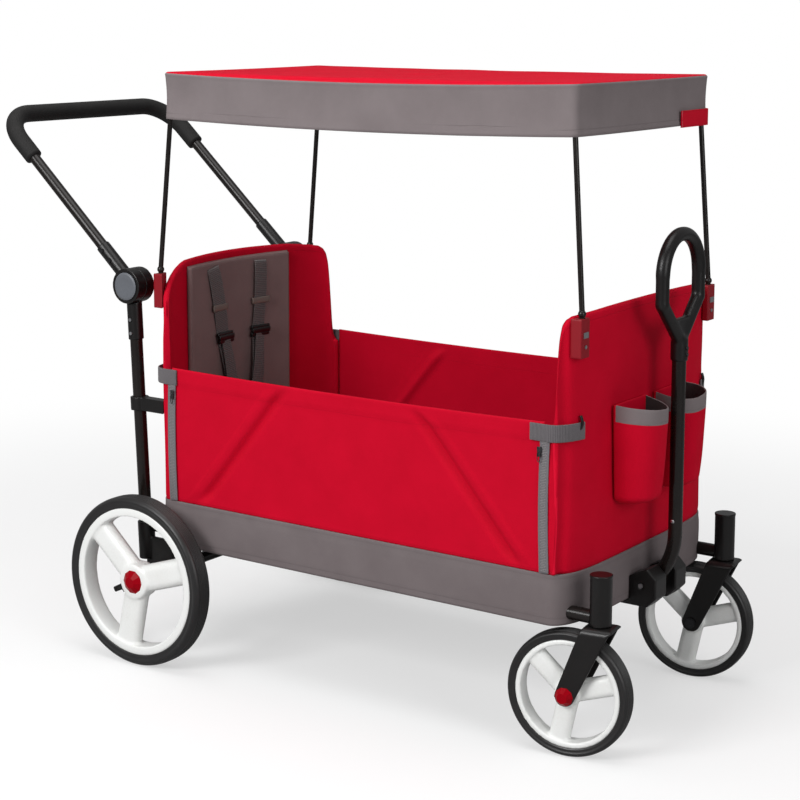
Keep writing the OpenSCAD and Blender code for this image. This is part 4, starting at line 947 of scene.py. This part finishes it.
topXy = (plan - n * r)[:, None] * (1 - inShare)[:, None]
u, v = topXy[..., 0] / halfLong, topXy[..., 1] / halfWide
slack = np.clip(1 - u ** 2, 0, 1) * np.clip(1 - v ** 2, 0, 1)
topZ = canopy.high - 0.8 * drop * np.exp(-inShare / 0.022) - canopy.sag * slack
topZ = topZ + canopy.soft * ripple(u * 1.1, v * 1.1, 41) * np.sqrt(slack)
z = np.concatenate([hemZ, edgeZ, topZ], 1)
p = raised(np.concatenate([hemXy, edgeXy, topXy], 1) + [bedX + canopy.x, 0], z)
paint = np.broadcast_to(np.arange(z.shape[1] - 1) >= canopy.topFrom, (len(z), z.shape[1] - 1))
seam = np.ones(z.shape)
seam[:, :canopy.hemRows] = np.abs(hemZ - canopy.low - canopy.hem)
piece = built("canopy_sheet", [(p, True, False)], dict(seam=seam, along=s[:, None] + 0 * z), paint=paint)
layer = piece.modifiers.new("layer", "SOLIDIFY")
layer.thickness, layer.offset = canopy.thick, -1
wear(piece, greyCanvas, redTop)
settled(piece)
place(piece, "canopy", "red_fabric", [greyCanvas, redTop], "canopy_cover")

tag = Settings(y0=0.114, y1=0.2222, low=0.9465, high=0.974, thick=0.0018, proud=0.0016, turnIn=0.010,
               seam=0.011)
y = np.linspace(tag.y0, tag.y1, 40)
x = bedX + canopy.x + halfLong + tag.proud - tag.turnIn * ease(y, 0.210, 0.2245)
middle = (tag.low + tag.high) / 2
g = strip(points(x, y, middle), (0, 0, 1), tag.high - tag.low, tag.thick, 0.12, 24)
y, z = g[0][..., 1], g[0][..., 2]
seam = np.minimum(np.abs(np.abs(z - middle) - tag.seam), np.abs(y - tag.y0 - 0.003))
place(built("canopy_tag", [g], dict(seam=seam, along=y + z)), "canopy", "red_fabric", tagCloth)
print("canopy done")


# Pockets: round-cornered pouches with an elastic rim and a dark lining.

pocket = Settings(y0=0.016, width=0.102, low=0.370, high=0.532, deep=0.062, corner=0.045, wall=0.0026,
                  rim=0.027, tuck=0.17, back=0.0014, foldX=0.02, slump=0.009, lean=0.005, soft=0.0012,
                  backSeam=0.006)
floorShare = np.linspace(0, 1, 12)[:-1]
up = np.linspace(0, 1, 40)
arc = np.linspace(0, np.pi, 7)[1:-1]


# Plan of a pocket: from the wall out round the front and back, then along the wall; inset shrinks it.
def pocketPlan(inset):
    w, d, r = pocket.width / 2 - inset, pocket.deep - inset, pocket.corner - inset
    f = np.linspace(0, np.pi / 2, 16)
    bend = points(d - r + r * np.sin(f), -w + r - r * np.cos(f))
    out = np.concatenate([[[pocket.back + inset, -w]], bend])
    return evenLoop(np.concatenate([out, (out * [1, -1])[::-1]]), 150)[0]


# A face of the pocket: its floor closed in to a point, then the plan at each height, drawn in lower down.
def pocketFace(plan, z):
    k = 1 - pocket.tuck * (1 - up) ** 1.4 - 0.40 * np.clip(1 - up / 0.10, 0, 1) ** 2.2
    xy = plan[:, None] * points(k * (1 + 0.02 * arch(up)), k)
    share = floorShare[:, None]
    bottom = xy[:, :1] * share + [pocket.foldX, 0] * (1 - share)
    return np.concatenate([raised(bottom, z[0]), raised(xy, z)], 1)


frontFace = endPath(True, 0, 301)[0][150, 0]
outer, inner = pocketPlan(0), pocketPlan(pocket.wall)
upZ = pocket.low + up * (pocket.high - pocket.low - pocket.wall / 2)
for side, sign in sides:
    over = (1 + np.cos(arc))[:, None] / 2
    rimXy = outer[:, None] * over + inner[:, None] * (1 - over)
    rim = raised(rimXy, upZ[-1] + pocket.wall / 2 * np.sin(arc))
    inFace = pocketFace(inner, np.maximum(upZ, pocket.low + pocket.wall))
    p = np.concatenate([pocketFace(outer, upZ), rim, inFace[:, ::-1]], 1)
    x, y, z = np.moveaxis(p, -1, 0)
    slump = np.clip((z - 0.44) / 0.09, 0, 1) * np.clip(x / pocket.deep, 0, 1)
    z -= slump * (pocket.slump - sign * pocket.lean * y / (pocket.width / 2))
    loose = np.clip(x / 0.05, 0, 1) * np.clip((pocket.high - z) / 0.1, 0, 1)
    x += ripple(y * 4, z * 3, 51) * pocket.soft * loose
    p += [frontFace + bed.inset, sign * (pocket.y0 + pocket.width / 2), 0]
    column = np.arange(p.shape[1])
    rimFrom = len(floorShare) + np.searchsorted(upZ, pocket.high - pocket.rim)
    lining = column >= len(floorShare) + len(up) + 4
    kind = np.where(lining, 2, np.where(column >= rimFrom, 1, 0))
    paint = np.where((inner[:, 0] < pocket.backSeam)[:, None], 0, kind[:-1])
    seam = np.abs(z - (pocket.high - pocket.rim - 0.002)) + 0.02 * lining
    piece = built(side + "_pocket_cloth", [(p, True, False)], dict(seam=seam, along=y + x), paint=paint)
    stoodFor = ["pockets"] if sign > 0 else []
    place(piece, "chassis", "red_fabric", [redCanvas, greyCanvas, liningCloth], *stoodFor)
print("pockets done")


# Seat pads and floor mat: crowned, sewn and inflated as cloth.

pad = Settings(tops=dict(rear=0.683, front=0.673), low=0.263, thick=0.0078, width=0.290, crown=0.0016,
               inset=0.0125, roll=0.005, soft=0.0006, seam=0.0035)


# A pad on a wall: the wall's line moved in, face crowned, edges rolled over to a sewn back.
def padGrids(front, top):
    line, _ = endPath(front, -pad.inset, 600)
    line, s = evenly(line[np.abs(line[:, 1]) <= pad.width / 2], 110)
    rows = np.linspace(0, 1, 120)
    u, v = (s / s[-1] * 2 - 1)[:, None], rows * 2 - 1
    z = pad.low + rows * (top - pad.low) + 0 * u
    edge = np.minimum((1 - np.abs(u)) * pad.width / 2, (1 - np.abs(v)) * (top - pad.low) / 2)
    slack = ripple(line[:, 1:] * 1.5, z * 1.5, 61) * pad.soft * ease(edge, pad.roll, 0.05)
    puff = roundOver(edge, pad.roll) * pad.thick + pad.crown * ease(edge, 0.006, 0.09) + slack
    face = raised(line[:, None] - planNormal(line)[:, None] * puff[..., None], z)
    return face, raised(np.broadcast_to(line[:, None], (*z.shape, 2)), z), edge


for name, top in pad.tops.items():
    face, back, edge = padGrids(name == "front", top)
    fields = dict(seam=np.stack([np.abs(edge - pad.seam), np.ones(edge.shape)]),
                  along=np.stack([face[..., 1] + face[..., 2], np.zeros(edge.shape)]))
    piece = built(name + "_pad_cloth", [(face, False, False), (back, False, False)], fields, merge=2e-5)
    place(piece, "chassis", "pad_fabric", padCloth, name + "_pad")

floorMat = Settings(low=0.241, thick=0.0135, inset=0.0135, roll=0.010, quilt=0.19, under=0.0003,
                    settle=0.0004)
plan, _ = bedLoop(-floorMat.inset, 150, 360)
rim = (plan - [bedX, 0])[:, None]
inShare = np.linspace(0, 1, 56) ** 1.1
topXy = rim * (1 - inShare)[:, None]
full = roundOver(np.linalg.norm(rim, axis=-1) * inShare, floorMat.roll)
quilt = np.abs(np.sin(topXy[..., 0] / floorMat.quilt * np.pi)) ** 0.25
topZ = floorMat.low + floorMat.thick * (0.25 + 0.75 * full) * (0.80 + 0.20 * quilt) - floorMat.settle
under = floorMat.low + floorMat.under
p = np.concatenate([raised(topXy, topZ)[:, ::-1], raised(rim, under), raised(rim * 0, under)], 1)
p += [bedX, 0, 0]
seam = np.abs((p[..., 0] - bedX + floorMat.quilt / 2) % floorMat.quilt - floorMat.quilt / 2)
piece = built("floor_mat_cloth", [(p, True, False)], dict(seam=seam, along=p[..., 1]))
place(piece, "chassis", "pad_fabric", matCloth, "floor_mat")
print("pads done")


# Harness: webbing that hangs in front of each pad, with adjusters and a buckle.

harness = Settings(slotZ=dict(rear=0.672, front=0.662),
                   footY=dict(rear=(-0.006, 0.046), front=(-0.030, 0.030)), topY=0.0685, footZ=0.386,
                   lapZ=0.316, lapY=(0.025, 0.100), crotchZ=(0.264, 0.290), width=0.034, tail=0.024,
                   thick=0.0017, gap=0.0012, off=0.0022, tailFrom=0.44, glideAt=0.26,
                   glide=(0.0056, 0.0040, 0.012),
                   adjuster=((0.435, 0.008, 0.0074), (0.455, 0.010, 0.0098), (0.480, 0.008, 0.0074)),
                   buckle=((0.022, 0.050), (0.015, 0.034), (0.008, 0.018)))
webs, alongs, fittings, glides = [], [], [], []


# Where the pad's face stands at each y, moved off it by a distance.
def padFace(front, y, off):
    line, _ = endPath(front, -(pad.inset + pad.thick + harness.gap), 600)
    order = np.argsort(line[:, 1])
    return np.interp(y, line[order, 1], line[order, 0]) - off * (1 if front else -1)


def addWeb(front, y, z, off, width=harness.width, across=(0, 1, 0)):
    path = points(padFace(front, y, off), y, z)
    webs.append(strip(path, across, width, harness.thick, 0.25, 12))
    alongs.append(stripRun(webs[-1], lengthAlong(path)))


# A rounded bar of plastic on the pad, level, with its middle at y.
def addBar(grids, front, y, half, z, off, thick, high):
    y = np.linspace(y - half, y + half, 14)
    grids.append(strip(points(padFace(front, y, off), y, z), (0, 0, 1), high, thick, 0.5, 14))


# Place on a shoulder strap, as a share of its way from the slot down to the foot.
def strapSpot(share, top, foot):
    return top[0] * (1 - share) + foot[0] * share, top[1] + (foot[1] - top[1]) * share


for name, slotZ in harness.slotZ.items():
    front = name == "front"
    for (_, sign), footY in zip(sides, harness.footY[name]):
        run = (sign * harness.topY, slotZ), (footY, harness.footZ)
        share = np.linspace(0, 1, 60)
        hang = 0.0020 + 0.0028 * arch(share / 0.45) + 0.006 * arch((share - 0.45) / 0.55)
        addWeb(front, *strapSpot(share, *run), hang * (1 - np.exp(-share / 0.02)))
        share = np.linspace(harness.tailFrom, 0.97, 40)
        y, z = strapSpot(share, *run)
        share = share - harness.tailFrom
        addWeb(front, y - 0.030 * share, z, 0.0078 + 0.006 * arch(share / 0.56), harness.tail)
        y, z = strapSpot(harness.glideAt, *run)
        addBar(glides, front, y, 0.022, z, *harness.glide)
        for share, high, off in harness.adjuster:
            y, z = strapSpot(share, *run)
            addBar(fittings, front, y, 0.0225, z, off, 0.0044, high)
        lap = sign * np.linspace(*harness.lapY, 24)
        addWeb(front, lap, harness.lapZ, harness.off, across=(0, 0, 1))
    addWeb(front, 0, np.linspace(*harness.crotchZ, 20), harness.off)
    for k, (half, high) in enumerate(harness.buckle):
        addBar(fittings, front, 0, half, harness.lapZ, 0.0060 + 0.0026 * k, 0.0085 - 0.002 * k, high)
piece = built("harness_straps", webs, dict(along=np.concatenate(alongs)))
place(piece, "chassis", "webbing", harnessWeb, "harness_webbing")
place(built("harness_fittings", fittings), "chassis", "black_plastic", blackPlastic, "harness_hardware")
place(built("harness_glides", glides), "chassis", "black_plastic", glidePlastic)
print("harness done")


# Stage: white studio with a soft shadow.

camera = Settings(place=(1.79378 + bedX, -2.67485, 1.14331), yaw=35.40, pitch=8.23, sensor=36)
picture = Settings(size=800, focal=1903.02, offX=-21.46, offY=-120.0)    # pixels
data = bpy.data.cameras.new("studioCamera")
data.sensor_width, data.lens = camera.sensor, camera.sensor * picture.focal / picture.size
data.shift_x, data.shift_y = -picture.offX / picture.size, picture.offY / picture.size
data.clip_end = 60
eye = bpy.data.objects.new("studioCamera", data)
eye.location = camera.place
eye.rotation_euler = (math.radians(90 - camera.pitch), 0, math.radians(camera.yaw))
scene.collection.objects.link(eye)
scene.camera = eye

light = Settings(fill=0.33, bounce=0.42, white=0.96, near=0.9, far=2.4, lift=0.52)
scene.world = bpy.data.worlds.new("studio")
tree = cleared(scene.world)
rays = add(tree, "LightPath").outputs
fill = add(tree, "Background", {0: (0.98, 0.99, 1, 1), 1: light.fill})
backdrop = add(tree, "Background", {0: (1, 1, 1, 1), 1: 1.0})
mix = add(tree, "MixShader", {0: rays["Is Camera Ray"], 1: fill.outputs[0], 2: backdrop.outputs[0]})
add(tree, "OutputWorld", {0: mix.outputs[0]})

mat, tree, spot = startMaterial("paleFloor")
seen = add(tree, "LightPath").outputs["Is Camera Ray"]
matt = add(tree, "BsdfDiffuse", {0: span(tree, seen, 0.0, 1.0, light.bounce, light.white)})
glow = add(tree, "Emission", {0: (1, 1, 1, 1), 1: 1.0})
away = add(tree, "VectorMath", {0: spot}, operation="LENGTH").outputs["Value"]
lift = span(tree, away, light.near, light.far, light.lift, 1.0, interpolation_type="SMOOTHSTEP")
mix = add(tree, "MixShader", {0: times(tree, seen, lift), 1: matt.outputs[0], 2: glow.outputs[0]})
add(tree, "OutputMaterial", {0: mix.outputs[0]})
g = np.linspace(-40, 40, 3)
p = raised(np.stack(np.meshgrid(g, g, indexing="ij"), -1), 0)
floor = built("paleFloor", [(p, False, False)], turn=False)
wear(floor, mat)
floor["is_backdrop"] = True


def lamp(name, spot, aim, size, power):
    data = bpy.data.lights.new(name, "AREA")
    data.shape, data.energy = "RECTANGLE", power
    data.size, data.size_y = size
    obj = bpy.data.objects.new(name, data)
    obj.location = spot
    d = np.array(aim) - np.array(spot)
    obj.rotation_euler = (math.atan2(math.hypot(d[0], d[1]), -d[2]), 0, math.atan2(d[0], -d[1]) + math.pi)
    scene.collection.objects.link(obj)


lamp("keySoftbox", (-0.5, -3.4, 2.25), (0, 0, 0.45), (1.8, 1.3), 94)
lamp("topSoftbox", (0.2, -0.4, 4.2), (0.1, 0, 0.4), (3.0, 2.6), 64)
lamp("frontFill", (3.6, -1.2, 1.6), (0.0, 0, 0.5), (1.6, 1.6), 32)
scene.view_settings.view_transform = "Standard"
print("stage done")

lo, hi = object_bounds()
